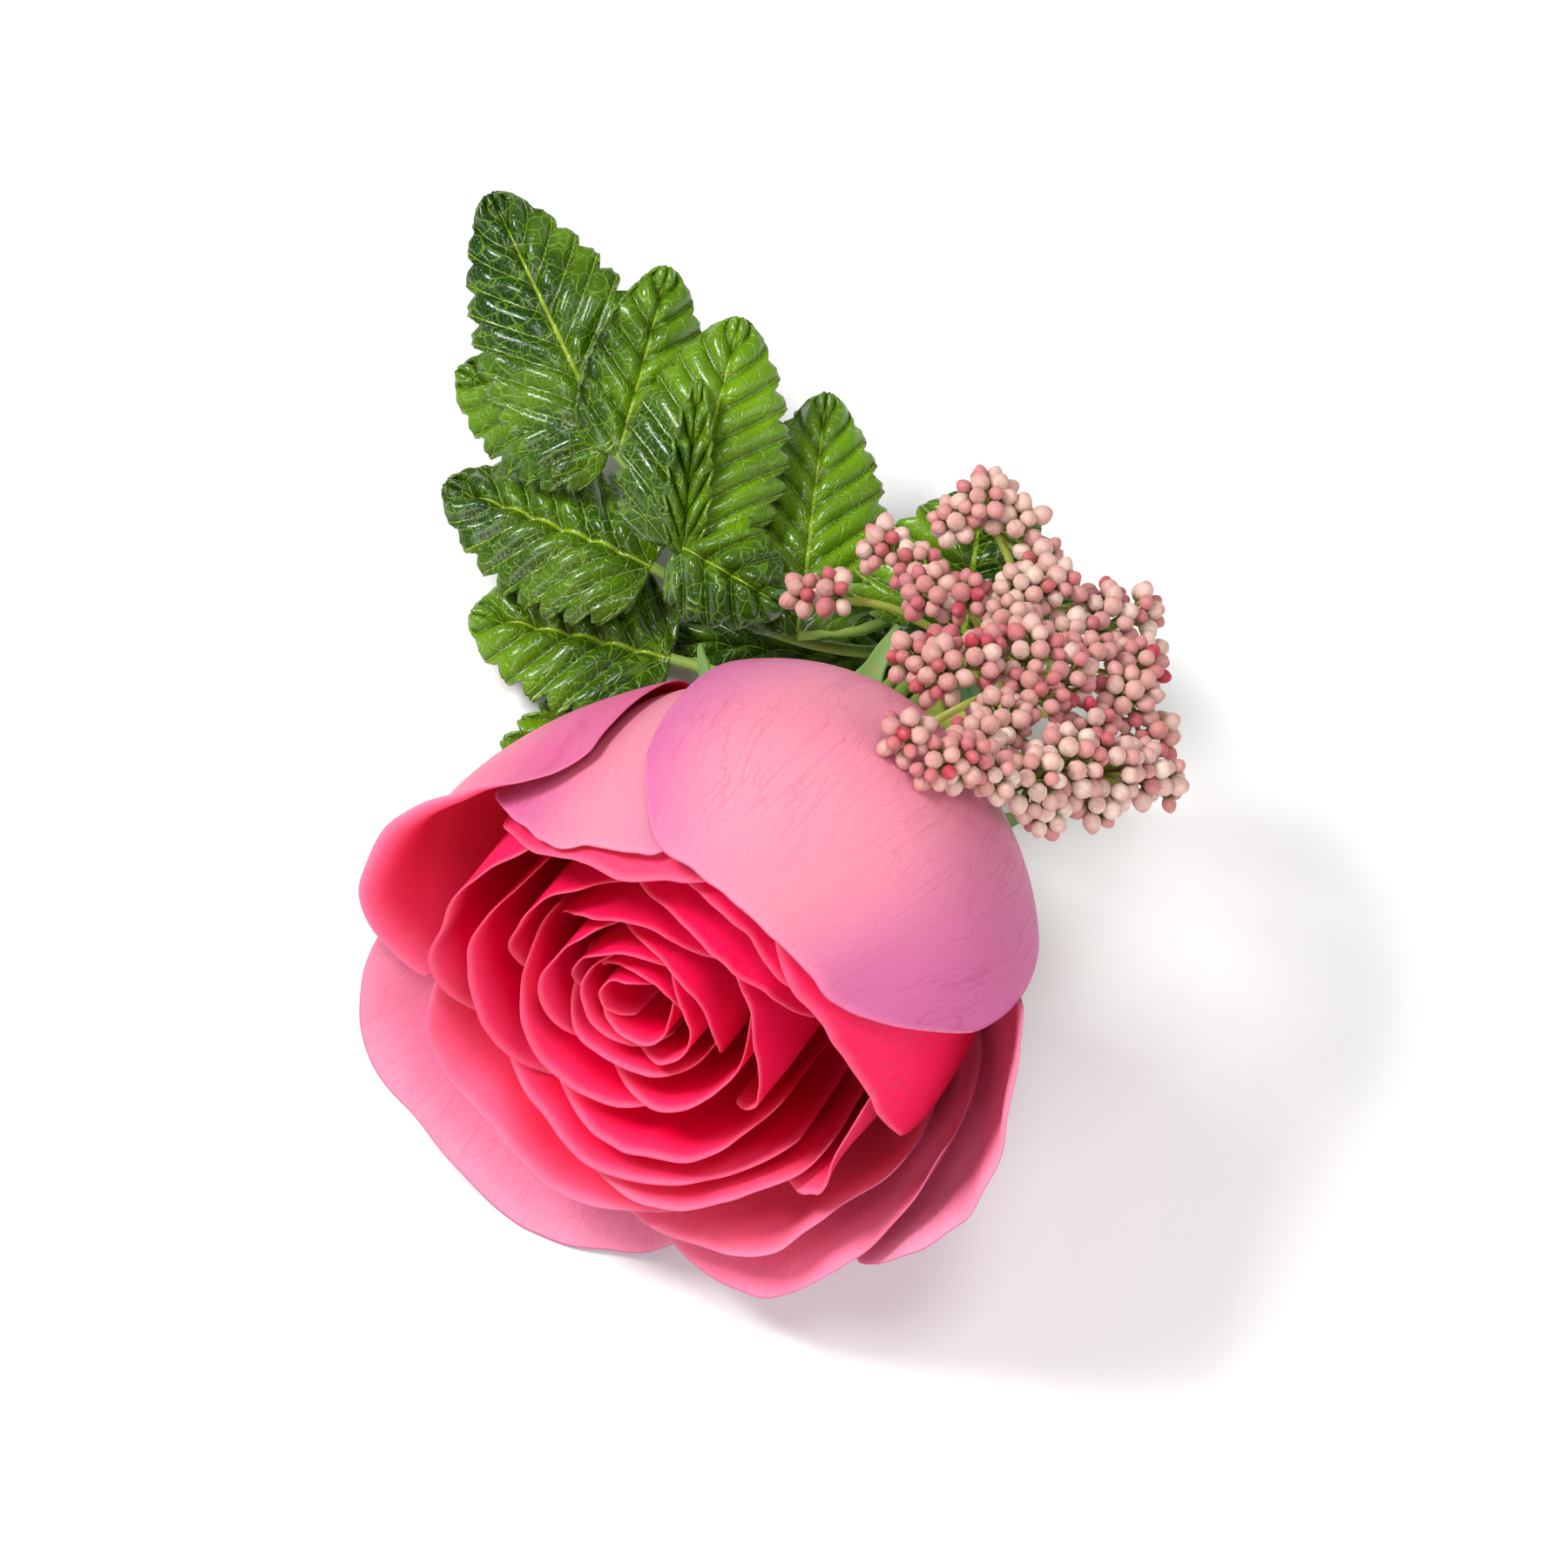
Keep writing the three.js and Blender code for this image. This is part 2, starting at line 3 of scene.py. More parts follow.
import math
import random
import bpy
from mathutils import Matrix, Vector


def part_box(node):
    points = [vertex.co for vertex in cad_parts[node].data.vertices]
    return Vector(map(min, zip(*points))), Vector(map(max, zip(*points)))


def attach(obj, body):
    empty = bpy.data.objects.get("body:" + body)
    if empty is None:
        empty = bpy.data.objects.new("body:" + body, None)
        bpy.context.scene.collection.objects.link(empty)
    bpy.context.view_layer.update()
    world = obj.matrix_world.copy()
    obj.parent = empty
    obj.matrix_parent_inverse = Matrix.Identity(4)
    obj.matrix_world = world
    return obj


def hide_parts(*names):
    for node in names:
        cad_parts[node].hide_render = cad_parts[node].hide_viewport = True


bl_info = {
    "name": "Cut Rose Posy",
    "version": (1, 0, 0),
    "blender": (4, 5, 0),
    "location": "3D View > Sidebar > Posy",
    "description": "Builds the petals, leaves, buds, stems and table of a small rose posy",
    "category": "Add Mesh",
}

import bmesh
import bpy
from mathutils import Matrix, Vector, noise

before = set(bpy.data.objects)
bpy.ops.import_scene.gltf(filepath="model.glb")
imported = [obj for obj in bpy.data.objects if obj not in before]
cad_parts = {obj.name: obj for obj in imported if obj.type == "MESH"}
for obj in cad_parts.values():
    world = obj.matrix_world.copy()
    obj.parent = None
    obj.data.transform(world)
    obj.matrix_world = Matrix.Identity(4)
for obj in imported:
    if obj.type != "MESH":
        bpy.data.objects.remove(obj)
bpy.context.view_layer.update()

MM = 0.001

# ---- Sizes shared with the solid model, in millimetres and degrees ----

BLOOM_RADIUS = 48
BLOOM_HEIGHT = 52
BLOOM_RISE = 27
BLOOM_TURN = 29
BINDING_AT = -30.5
BINDING_LENGTH = 9
HIP_RADIUS = 6.2
HIP_LENGTH = 11
SEPAL_LENGTH = 21
SEPAL_HALF_WIDTH = 3.2
STEM_RADIUS = 2.5
STEM_LENGTH = 46
STEM_STRAIGHT = 34
SPRAY_STALK_RADIUS = 1.3
BRANCH_RADIUS = 0.5
BRANCH_BOW = 6
BINDING_HEIGHT = 14
PETIOLE_RADIUS = 0.9
GAP = 0.35
BUTT = 3
GOLDEN_ANGLE = 137.5
SPREAD = BLOOM_RADIUS / 48

# ---- Sizes that only this model has ----

BUD_TRIES = 150  # directions tried on each lump of a head
BUD_SPACING = 0.86  # least distance between two buds, as a share of their radii together
SENSOR_WIDTH = 36

# ---- The bloom's own frame: origin at the petals' seat, +Z out of its open face, +Y its upper side ----

rise, turn = math.radians(BLOOM_RISE), math.radians(BLOOM_TURN)
bloom_axis = Vector((-math.cos(rise) * math.sin(turn), -math.cos(rise) * math.cos(turn), math.sin(rise)))
bloom_up = (Vector((0, 0, 1)) - bloom_axis * bloom_axis.z).normalized()
bloom_right = bloom_up.cross(bloom_axis)
band_low, band_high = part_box("binding")
band_middle = (Vector(band_low) + Vector(band_high)) / 2 / MM
seat = band_middle - bloom_axis * BINDING_AT


def clamp(x, low=0.0, high=1.0):
    return min(high, max(low, x))


def smooth(low, high, x):
    k = clamp((x - low) / (high - low))
    return k * k * (3 - 2 * k)


def from_bloom(right, up, out):
    return seat + bloom_right * right + bloom_up * up + bloom_axis * out


# ---- Petal forms ----

DEPTHS = [0, 0.33, 0.66, 0.85, 1]
CLOSED_SIDE = [
    [(0.021, 0.173), (0.046, 0.423), (0.054, 0.692), (0.050, 0.846)],
    [(0.050, 0.115), (0.188, 0.385), (0.219, 0.654), (0.198, 0.904)],
    [(0.083, 0.058), (0.417, 0.288), (0.458, 0.654), (0.375, 0.942)],
    [(0.110, 0.029), (0.604, 0.231), (0.688, 0.635), (0.490, 0.981)],
    [(0.135, 0.000), (0.708, 0.192), (0.865, 0.615), (0.563, 1.000)],
]
OPEN_SIDE = [
    [(0.021, 0.173), (0.046, 0.423), (0.054, 0.692), (0.058, 0.827)],
    [(0.050, 0.115), (0.177, 0.365), (0.219, 0.635), (0.240, 0.865)],
    [(0.083, 0.058), (0.375, 0.269), (0.448, 0.596), (0.500, 0.875)],
    [(0.110, 0.029), (0.458, 0.192), (0.583, 0.538), (0.667, 0.846)],
    [(0.135, 0.000), (0.563, 0.154), (0.792, 0.462), (1.000, 0.712)],
]
CLOSED_AT = 72
FLAT_AT = 130
FLAT_HALF_WIDTH = 65
FLATNESS = 0.19
HEART_SHIFT = (-3.5, -1.7)
TABLE_CLEARANCE = 0.3

# at and half are degrees; ruffle is the height of the rim's waves and waves is how many fit across the petal.
# pale is how far the petal's colour has faded.
OUTER_PETALS = {
    "guard_right": dict(at=66, half=45, depth=1.0, square=5, round=0.2, ruffle=0.5, waves=2.2, pale=0.7),
    "guard_top": dict(at=119, half=38, depth=0.905, reach=0.96, rim=1, ruffle=0.5, pale=0.5),
    "guard_left": dict(
        at=171, half=45, depth=0.957, open=-0.05, twist=-0.05, roll=5, rim=1, ruffle=0.8, pale=0.35
    ),
    "guard_lower_left": dict(
        at=242, half=39, depth=1.0, roll=2, rim=1.5, square=4, ruffle=1.1, waves=3.4, pale=1.0
    ),
    "guard_lower_right": dict(
        at=348, half=33, depth=1.0, open=0.22, twist=0.38, roll=2, rim=1.2, square=4, ruffle=0.9, pale=1.0
    ),
    "guard_bottom": dict(at=311, half=40, depth=0.94, open=0.08, roll=1.5, rim=1.5, ruffle=0.9, pale=0.62),
    "wide_lower_left": dict(
        at=246, half=46, depth=0.85, roll=1.5, rim=2, square=4, ruffle=0.9, waves=3.6, pale=0.35
    ),
    "wide_bottom": dict(at=300, half=42, depth=0.895, reach=0.97, roll=1.5, ruffle=0.9, waves=3, pale=0.5),
    "wide_right": dict(at=37, half=48, depth=0.885, reach=0.98, ruffle=0.6, pale=0.15),
    "wide_left": dict(at=182, half=46, depth=0.80, roll=1, ruffle=0.9, waves=3.2, pale=0.15),
    "wide_top": dict(at=112, half=48, depth=0.84, reach=0.98, rim=1, ruffle=0.7, pale=0.2),
    "mid_bottom": dict(at=288, half=46, depth=0.76, roll=1, ruffle=0.8, waves=3.2, pale=0.25),
    "mid_right": dict(at=343, half=31, depth=0.81, open=0.1, roll=1.5, ruffle=0.7, pale=0.2),
    "mid_top": dict(at=62, half=48, depth=0.78, roll=1, ruffle=0.6, pale=0.1),
    "mid_lower_left": dict(at=270, half=56, depth=0.717, roll=1, rim=-1, ruffle=0.6, waves=3, pale=0.1),
}
INNER_COUNT = 17


def inner_petal(i):
    depth = 0.672 * (1 - i / (INNER_COUNT + 0.5))
    return dict(
        at=202 - GOLDEN_ANGLE * i + 8 * math.sin(2.3 * i),
        half=46 + 75 * (1 - depth / 0.7) ** 1.3,
        depth=depth,
        reach=0.97 + 0.02 * math.sin(1.7 * i),
        roll=depth,
        ruffle=0.25 + 0.6 * depth,
        waves=2.4 + 0.7 * math.sin(2.1 * i),
        pale=0.0,
    )


def outline(side, depth):
    i = 0
    while i < len(DEPTHS) - 2 and depth > DEPTHS[i + 1]:
        i += 1
    k = (depth - DEPTHS[i]) / (DEPTHS[i + 1] - DEPTHS[i])
    return [[a + (b - a) * k for a, b in zip(p, q)] for p, q in zip(side[i], side[i + 1])]


def through(points, share):
    """A Catmull-Rom curve read at a share of its length, running on a little past both ends."""
    spans = len(points) - 1
    x = share * spans
    i = int(clamp(math.floor(x), 0, spans - 1))
    f = x - i
    p1, p2 = points[i], points[i + 1]
    p0 = points[i - 1] if i > 0 else [2 * a - b for a, b in zip(p1, p2)]
    p3 = points[i + 2] if i + 2 <= spans else [2 * b - a for a, b in zip(p1, p2)]
    return [
        0.5 * (2 * b + (c - a) * f + (2 * a - 5 * b + 4 * c - d) * f * f + (3 * b - a - 3 * c + d) * f ** 3)
        for a, b, c, d in zip(p0, p1, p2, p3)
    ]


def petal_point(petal, t, s, seed):
    depth = petal["depth"]
    widening = 0.3 + 0.7 * math.sin(math.pi / 2 * clamp(s / 0.62)) ** 1.15
    angle = petal["at"] + petal["half"] * widening * t
    opened = petal.get("open", 0) + petal.get("twist", 0) * t
    flare = clamp(0.5 - 0.5 * math.cos(math.radians(angle - CLOSED_AT)) + opened, 0, 1.2)
    points = [
        [a + (b - a) * flare for a, b in zip(p, q)]
        for p, q in zip(outline(CLOSED_SIDE, depth), outline(OPEN_SIDE, depth))
    ]
    rim = petal.get("rim", 0)
    points[3][0] += rim / BLOOM_RADIUS
    points[2][0] += 0.35 * rim / BLOOM_RADIUS
    notch = 0.02 * noise.noise(Vector((t * 2.6, seed * 3.1, 0.4)))
    notch += 0.008 * noise.noise(Vector((t * 9, seed, 2)))
    end = 1 - petal.get("round", 0.2) * abs(t) ** petal.get("square", 2.6) + notch
    radius_share, height_share = through(points, s * end * petal.get("reach", 0.98))
    turned = max(0, s - 0.78) / 0.22
    rolled = petal.get("roll", 0) * (1 - 0.7 * t * t)
    from_flat = clamp((angle - FLAT_AT) / FLAT_HALF_WIDTH, -1, 1)
    flattened = 1 - FLATNESS * depth ** 2 * clamp(3 * s) * math.cos(math.pi / 2 * from_flat) ** 2
    radius = radius_share * BLOOM_RADIUS * flattened + 0.9 * rolled * turned ** 2
    height = height_share * BLOOM_HEIGHT - rolled * turned ** 3
    near_rim = smooth(0.55, 1, s)
    wave = math.sin(petal.get("waves", 2.6) * t * math.pi / 1.4 + seed * 1.9)
    crumple = noise.noise(Vector((t * 4, s * 3, seed * 2.7)))
    radius += near_rim * petal["ruffle"] * (0.55 * wave + 0.8 * crumple)
    height += near_rim * petal["ruffle"] * 0.5 * noise.noise(Vector((t * 3.3, seed * 1.3, 7)))
    lean = (1 - depth) ** 1.5 * clamp(height_share / 0.77)
    a = math.radians(angle)
    p = from_bloom(
        radius * math.cos(a) + HEART_SHIFT[0] * lean, radius * math.sin(a) + HEART_SHIFT[1] * lean, height
    )
    p.z = max(p.z, TABLE_CLEARANCE)
    return p


# ---- Making pieces ----


def finished(mesh_or_bmesh, name, *materials, smooth_faces=True):
    """Turns a bmesh in millimetres into a piece in metres that rides on the posy."""
    mesh = bpy.data.meshes.new(name)
    bmesh.ops.scale(mesh_or_bmesh, vec=(MM, MM, MM), verts=mesh_or_bmesh.verts)
    mesh_or_bmesh.to_mesh(mesh)
    mesh_or_bmesh.free()
    if smooth_faces:
        mesh.shade_smooth()
    piece = bpy.data.objects.new(name, mesh)
    for look in materials:
        mesh.materials.append(look)
    bpy.context.scene.collection.objects.link(piece)
    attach(piece, "root")
    return piece


def thicken(piece, thickness, back=0):
    wall = piece.modifiers.new("Thickness", "SOLIDIFY")
    wall.thickness = thickness * MM
    wall.offset = 0
    wall.material_offset = back
    return wall


def soften(piece, levels=1):
    rounding = piece.modifiers.new("Rounding", "SUBSURF")
    rounding.levels = rounding.render_levels = levels
    return rounding


def sheet(across, along, point):
    """A grid whose corners run over t from -1 to 1 and s from 0 to 1, each put at point(t, s)."""
    bm = bmesh.new()
    bmesh.ops.create_grid(bm, x_segments=across, y_segments=along, size=1, calc_uvs=False)
    uv = bm.loops.layers.uv.new("UVMap")
    for face in bm.faces:
        for loop in face.loops:
            x, y, _ = loop.vert.co
            loop[uv].uv = (0.5 + 0.5 * x, 0.5 + 0.5 * y)
    for vert in bm.verts:
        x, y, _ = vert.co
        vert.co = point(x, 0.5 + 0.5 * y)
    return bm


def rope(name, strands, look, taper=1.0):
    """Round stalks as one piece: strands are (points, radius) pairs in millimetres."""
    data = bpy.data.curves.new(name, "CURVE")
    data.dimensions = "3D"
    data.bevel_depth = MM
    data.bevel_resolution = 3
    data.resolution_u = 6
    data.use_fill_caps = True
    for points, radius in strands:
        spline = data.splines.new("BEZIER")
        spline.bezier_points.add(len(points) - 1)
        for i, (knot, p) in enumerate(zip(spline.bezier_points, points)):
            knot.co = Vector(p) * MM
            knot.handle_left_type = knot.handle_right_type = "AUTO"
            share = i / (len(points) - 1)
            knot.radius = radius * (1 + (taper - 1) * share)
    data.materials.append(look)
    piece = bpy.data.objects.new(name, data)
    bpy.context.scene.collection.objects.link(piece)
    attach(piece, "root")
    return piece


# ---- Shader writing ----


class Wire:
    """A shader socket that takes part in ordinary arithmetic."""

    def __init__(self, look, socket):
        self.look, self.socket = look, socket

    def math(self, operation, *others):
        inputs = {i: value for i, value in enumerate((self, *others))}
        return self.look.node("ShaderNodeMath", {"operation": operation}, inputs)

    def __add__(self, other):
        return self.math("ADD", other)

    def __sub__(self, other):
        return self.math("SUBTRACT", other)

    def __mul__(self, other):
        return self.math("MULTIPLY", other)

    def __truediv__(self, other):
        return self.math("DIVIDE", other)

    def __pow__(self, other):
        return self.math("POWER", other)

    def __rsub__(self, other):
        return (self * -1) + other

    __radd__ = __add__
    __rmul__ = __mul__

    def sin(self):
        return self.math("SINE")

    def absolute(self):
        return self.math("ABSOLUTE")

    def fraction(self):
        return self.math("FRACT")

    def between(self, low, high, smoothly=True):
        """0 below low and 1 above high."""
        settings = {"interpolation_type": "SMOOTHSTEP" if smoothly else "LINEAR"}
        if low < high:
            return self.look.node("ShaderNodeMapRange", settings, {0: self, 1: low, 2: high, 3: 0, 4: 1})
        return self.look.node("ShaderNodeMapRange", settings, {0: self, 1: high, 2: low, 3: 1, 4: 0})


class Look:
    """A material being written."""

    def __init__(self, name):
        self.material = bpy.data.materials.new(name)
        self.material.use_nodes = True
        self.tree = self.material.node_tree
        self.shader = self.tree.nodes["Principled BSDF"]

    def node(self, kind, settings=None, inputs=None, output=0):
        made = self.tree.nodes.new(kind)
        for key, value in (settings or {}).items():
            if key == "stops":
                ramp = made.color_ramp
                while len(ramp.elements) < len(value):
                    ramp.elements.new(0.5)
                for element, (position, colour) in zip(ramp.elements, value):
                    element.position = position
                    element.color = (*colour, 1)
            else:
                setattr(made, key, value)
        for key, value in (inputs or {}).items():
            socket = made.inputs[key]
            if isinstance(value, Wire):
                self.tree.links.new(value.socket, socket)
            else:
                socket.default_value = value
        return Wire(self, made.outputs[output])

    def uv(self):
        whole = self.node("ShaderNodeUVMap", {"uv_map": "UVMap"})
        parts = self.node("ShaderNodeSeparateXYZ", None, {0: whole})
        return parts, Wire(self, parts.socket.node.outputs[1])

    def place(self):
        return self.node("ShaderNodeTexCoord", output="Object")

    def attribute(self, name):
        return self.node("ShaderNodeAttribute", {"attribute_name": name}, output="Fac")

    def point(self, x, y, z=0.0):
        return self.node("ShaderNodeCombineXYZ", None, {0: x, 1: y, 2: z})

    def noise(self, where, scale, detail=2.0, roughness=0.5):
        inputs = {"Vector": where, "Scale": scale, "Detail": detail, "Roughness": roughness}
        return self.node("ShaderNodeTexNoise", None, inputs, "Fac")

    def cells(self, where, scale, feature="DISTANCE_TO_EDGE", randomness=1.0):
        inputs = {"Vector": where, "Scale": scale, "Randomness": randomness}
        return self.node("ShaderNodeTexVoronoi", {"feature": feature}, inputs, "Distance")

    def mix(self, share, first, second, blend="MIX"):
        tints = [(*c, 1) if isinstance(c, tuple) and len(c) == 3 else c for c in (first, second)]
        settings = {"data_type": "RGBA", "blend_type": blend}
        return self.node("ShaderNodeMix", settings, {0: share, 6: tints[0], 7: tints[1]}, 2)

    def ramp(self, value, *stops):
        return self.node("ShaderNodeValToRGB", {"stops": stops}, {0: value})

    def bump(self, height, strength, distance):
        inputs = {"Height": height, "Strength": strength, "Distance": distance * MM}
        return self.node("ShaderNodeBump", None, inputs)

    def wear(self, **sockets):
        """Sets the shader's own sockets, by name with _ for a space."""
        for key, value in sockets.items():
            socket = self.shader.inputs[key.replace("_", " ").title().replace("Ior", "IOR")]
            if isinstance(value, Wire):
                self.tree.links.new(value.socket, socket)
            elif isinstance(value, tuple) and len(value) == 3 and socket.type == "RGBA":
                socket.default_value = (*value, 1)
            else:
                socket.default_value = value
        return self.material


# ---- Materials ----


def petal_look(name, outside):
    look = Look(name)
    u, v = look.uv()
    depth = look.attribute("depth")
    pale = look.attribute("pale")
    where = look.place()
    # Fine veins fan out from the base, and branch where the noise bends them together.
    sway = look.noise(look.point(u * 6, v * 5, depth * 9), 1.0, 4.0, 0.6) - 0.5
    fan = look.point((u + sway * 0.10) * 30, v * 3.4 + sway * 2, depth * 40)
    veins = 1 - look.cells(fan, 1.0).between(0.0, 0.05)
    fine = 1 - look.cells(look.point((u + sway * 0.08) * 64, v * 9, depth * 50), 1.0).between(0.0, 0.12)
    patch = look.noise(where, 38.0, 3.0)
    broad = look.noise(where, 15.0, 1.0)
    grain = look.noise(look.point(u * 150, v * 22, depth * 10), 1.0, 3.0)
    edge = (u * 2 - 1).absolute()
    hot = (0.84, 0.0, 0.048)
    if outside:
        salmon = look.mix(v.between(0.05, 0.5), (0.68, 0.36, 0.24), (0.70, 0.22, 0.30))
        mauve = look.mix(patch, (0.58, 0.15, 0.31), (0.46, 0.085, 0.25))
        tint = (broad - 0.5) * 2.4 + edge * 0.8 + v * 0.5
        faded = look.mix(tint.between(0.2, 1.0), salmon, mauve)
        fresh = look.mix((v + patch * 0.2).between(0.4, 1.05), hot, (0.88, 0.006, 0.085))
        base = look.mix(pale.between(0.1, 0.45), fresh, faded)
        strong = v.between(0.12, 0.4) * patch.between(0.3, 0.65) * (0.12 + edge * 0.5)
        base = look.mix(veins * strong, base, (0.36, 0.04, 0.10))
        base = look.mix(fine * 0.08, base, (0.50, 0.08, 0.20))
        rim_paling_and_highlight = v.between(0.97, 1.0) * 0.4
    else:
        deep = look.mix(depth.between(0.1, 0.9), (0.56, 0.0, 0.012), (0.68, 0.0, 0.02))
        faded = pale.between(0.15, 1.0)
        deep = look.mix(faded, deep, (0.80, 0.10, 0.22))
        middle = look.mix(faded, (0.78, 0.0, 0.045), (0.82, 0.21, 0.35))
        light = look.mix(pale, (0.96, 0.05, 0.17), (0.84, 0.29, 0.42))
        base = look.mix((v + patch * 0.2 - 0.1).between(0.45, 0.86), deep, middle)
        base = look.mix((v + patch * 0.22 - 0.11).between(0.84, 1.04), base, light)
        base = look.mix(edge.between(0.86, 1.0) * v.between(0.3, 0.7) * 0.4, base, light)
        base = look.mix(veins * v.between(0.4, 0.8) * (0.05 + pale * 0.10), base, (0.66, 0.03, 0.12))
        base = look.mix(fine * 0.05, base, (0.60, 0.02, 0.1))
        rim_paling_and_highlight = v.between(0.95, 1.0) * 0.5
    # The thin rim is painted paler: partly the petal's own faded edge, partly a painted highlight where the
    # rim catches the light.
    base = look.mix(rim_paling_and_highlight * (0.5 + grain * 0.6), base, (0.92, 0.24, 0.36))
    relief = look.bump(veins * -0.3 + fine * -0.15 + grain * 0.4, 0.25, 0.2)
    return look.wear(
        base_color=base,
        roughness=0.42 + grain * 0.14,
        normal=relief,
        subsurface_weight=0.12,
        subsurface_radius=(1.0, 0.15, 0.3),
        subsurface_scale=0.0016,
        specular_ior_level=0.14 if outside else 0.03,
    )


LATERAL_SLOPE = 0.42


def leaf_look(name, back):
    look = Look(name)
    u, v = look.uv()
    where = look.place()
    count = look.attribute("veins")
    across = (u * 2 - 1).absolute()
    ladder = (v - across * LATERAL_SLOPE * (1 - v * 0.55)) * count
    lateral = 1 - ((ladder + 0.5).fraction() - 0.5).absolute().between(0.015, 0.05)
    midrib = 1 - across.between(0.012, 0.045)
    wobble = look.noise(where, 260.0, 2.0)
    shift = look.point(wobble * 0.0014, wobble * 0.0012)
    net_where = look.node("ShaderNodeVectorMath", {"operation": "ADD"}, {0: where, 1: shift})
    net = 1 - look.cells(net_where, 420.0).between(0.01, 0.06)
    fine_net = 1 - look.cells(net_where, 1200.0).between(0.02, 0.14)
    patch = look.noise(where, 55.0, 3.0)
    broad = look.noise(where, 22.0, 1.0)
    lines = look.node("ShaderNodeMath", {"operation": "MAXIMUM"}, {0: midrib, 1: lateral * 0.8})
    if back:
        base = look.mix(patch.between(0.3, 0.7), (0.085, 0.15, 0.045), (0.15, 0.24, 0.08))
        base = look.mix(lines * 0.7 + net * 0.25, base, (0.30, 0.38, 0.12))
        gloss, height = 0.55, lines * 1.0 + net * 0.4
    else:
        cloud = (patch + broad * 0.8 - 0.4).between(0.36, 0.8)
        base = look.mix(cloud, (0.007, 0.034, 0.0), (0.14, 0.29, 0.0))
        # Painted shade: the valleys along the side veins, where the blade puckers down, are darkened.
        valley_shade = 1 - ((ladder + 0.5).fraction() - 0.5).absolute().between(0.03, 0.26)
        base = look.mix(valley_shade * 0.6, base, (0.004, 0.026, 0.0))
        base = look.mix((patch * fine_net) * 0.35, base, (0.11, 0.27, 0.0))
        base = look.mix(net * 0.4, base, (0.19, 0.38, 0.01))
        base = look.mix(lines * 0.7, base, (0.36, 0.52, 0.03))
        base = look.mix(across.between(0.955, 1.0) * 0.5, base, (0.16, 0.26, 0.03))
        gloss, height = 0.17, lines * -1.2 + net * -0.35 + fine_net * -0.1
    relief = look.bump(height, 0.6, 0.5)
    return look.wear(
        base_color=base,
        roughness=gloss + patch * 0.12,
        normal=relief,
        coat_weight=0.0 if back else 0.3,
        coat_roughness=0.07,
        specular_ior_level=0.38,
    )


def green_look(name, young, old, speckle=400.0, gloss=0.45):
    look = Look(name)
    where = look.place()
    patch = look.noise(where, 90.0, 3.0)
    grain = look.noise(where, speckle, 4.0, 0.6)
    base = look.mix(patch.between(0.35, 0.65), young, old)
    base = look.mix(grain.between(0.62, 0.75) * 0.4, base, (0.35, 0.16, 0.06))
    return look.wear(
        base_color=base,
        roughness=gloss + grain * 0.2,
        normal=look.bump(grain, 0.25, 0.2),
        specular_ior_level=0.4,
    )


def bud_look():
    look = Look("Bud bracts")
    blush = look.attribute("blush")
    height = look.attribute("height")
    around = look.attribute("around")
    where = look.place()
    mottle = look.noise(where, 900.0, 3.0)
    overlap = (around * 5 + mottle * 0.8 + height * 1.5).fraction()
    seam = 1 - overlap.between(0.0, 0.14)
    # The ramp's colours are kept darker than the bracts' own, as painted shade for the gaps between crowded
    # buds.
    base = look.ramp(
        blush + mottle * 0.25 - 0.12,
        (0.0, (0.70, 0.54, 0.45)), (0.35, (0.60, 0.33, 0.29)),
        (0.7, (0.52, 0.16, 0.17)), (1.0, (0.44, 0.03, 0.06)),
    )
    # Painted shade: the side of each bud that faces into its head is darkened to olive, where the buds crowd
    # each other.
    base = look.mix(height.between(0.5, 0.0) * 0.85, base, (0.20, 0.20, 0.04))
    base = look.mix(height.between(0.86, 1.0) * 0.45, base, (0.56, 0.17, 0.16))
    base = look.mix(seam * 0.35, base, (0.40, 0.22, 0.14))
    return look.wear(
        base_color=base,
        roughness=0.5 + mottle * 0.15,
        normal=look.bump(seam * -0.8 + mottle * 0.5, 0.4, 0.2),
        subsurface_weight=0.2,
        subsurface_radius=(1.0, 0.5, 0.4),
        subsurface_scale=0.0008,
        specular_ior_level=0.4,
    )


def tape_look():
    look = Look("Crepe tape")
    u, v = look.uv()
    where = look.place()
    crepe = look.noise(look.point(u * 90, v * 8), 1.0, 3.0)
    lap = (v * 3 + u).fraction()
    edge = 1 - lap.between(0.0, 0.12)
    base = look.mix(crepe, (0.035, 0.10, 0.025), (0.09, 0.19, 0.05))
    base = look.mix(edge * 0.5, base, (0.02, 0.05, 0.015))
    return look.wear(
        base_color=base, roughness=0.62 + crepe * 0.2, normal=look.bump(crepe + edge * -1.0, 0.5, 0.3)
    )


# ---- Settings a user would change ----


class PetalSettings(bpy.types.PropertyGroup):
    thickness: bpy.props.FloatProperty(
        name="Thickness", description="Thickness of a petal in millimetres", default=0.26, min=0.1, max=1.5
    )
    ruffle: bpy.props.FloatProperty(
        name="Ruffle", description="How strongly the rims wave, as a share of the usual",
        default=1.0, min=0, max=2,
    )


class LeafSettings(bpy.types.PropertyGroup):
    pucker: bpy.props.FloatProperty(
        name="Pucker", description="How far a leaf puffs up between its veins, in millimetres",
        default=1.6, min=0, max=3,
    )
    tooth: bpy.props.FloatProperty(
        name="Tooth depth", description="Depth of the margin's scallops as a share of the blade's half width",
        default=0.16, min=0, max=0.4, subtype="FACTOR",
    )
    thickness: bpy.props.FloatProperty(
        name="Thickness", description="Thickness of a blade in millimetres", default=0.4, min=0.1, max=1.5
    )


class BudSettings(bpy.types.PropertyGroup):
    radius: bpy.props.FloatProperty(
        name="Radius", description="Radius of a full-grown bud in millimetres", default=1.2, min=0.5, max=3
    )
    seed: bpy.props.IntProperty(name="Seed", description="Changes how the buds are strewn", default=4, min=0)


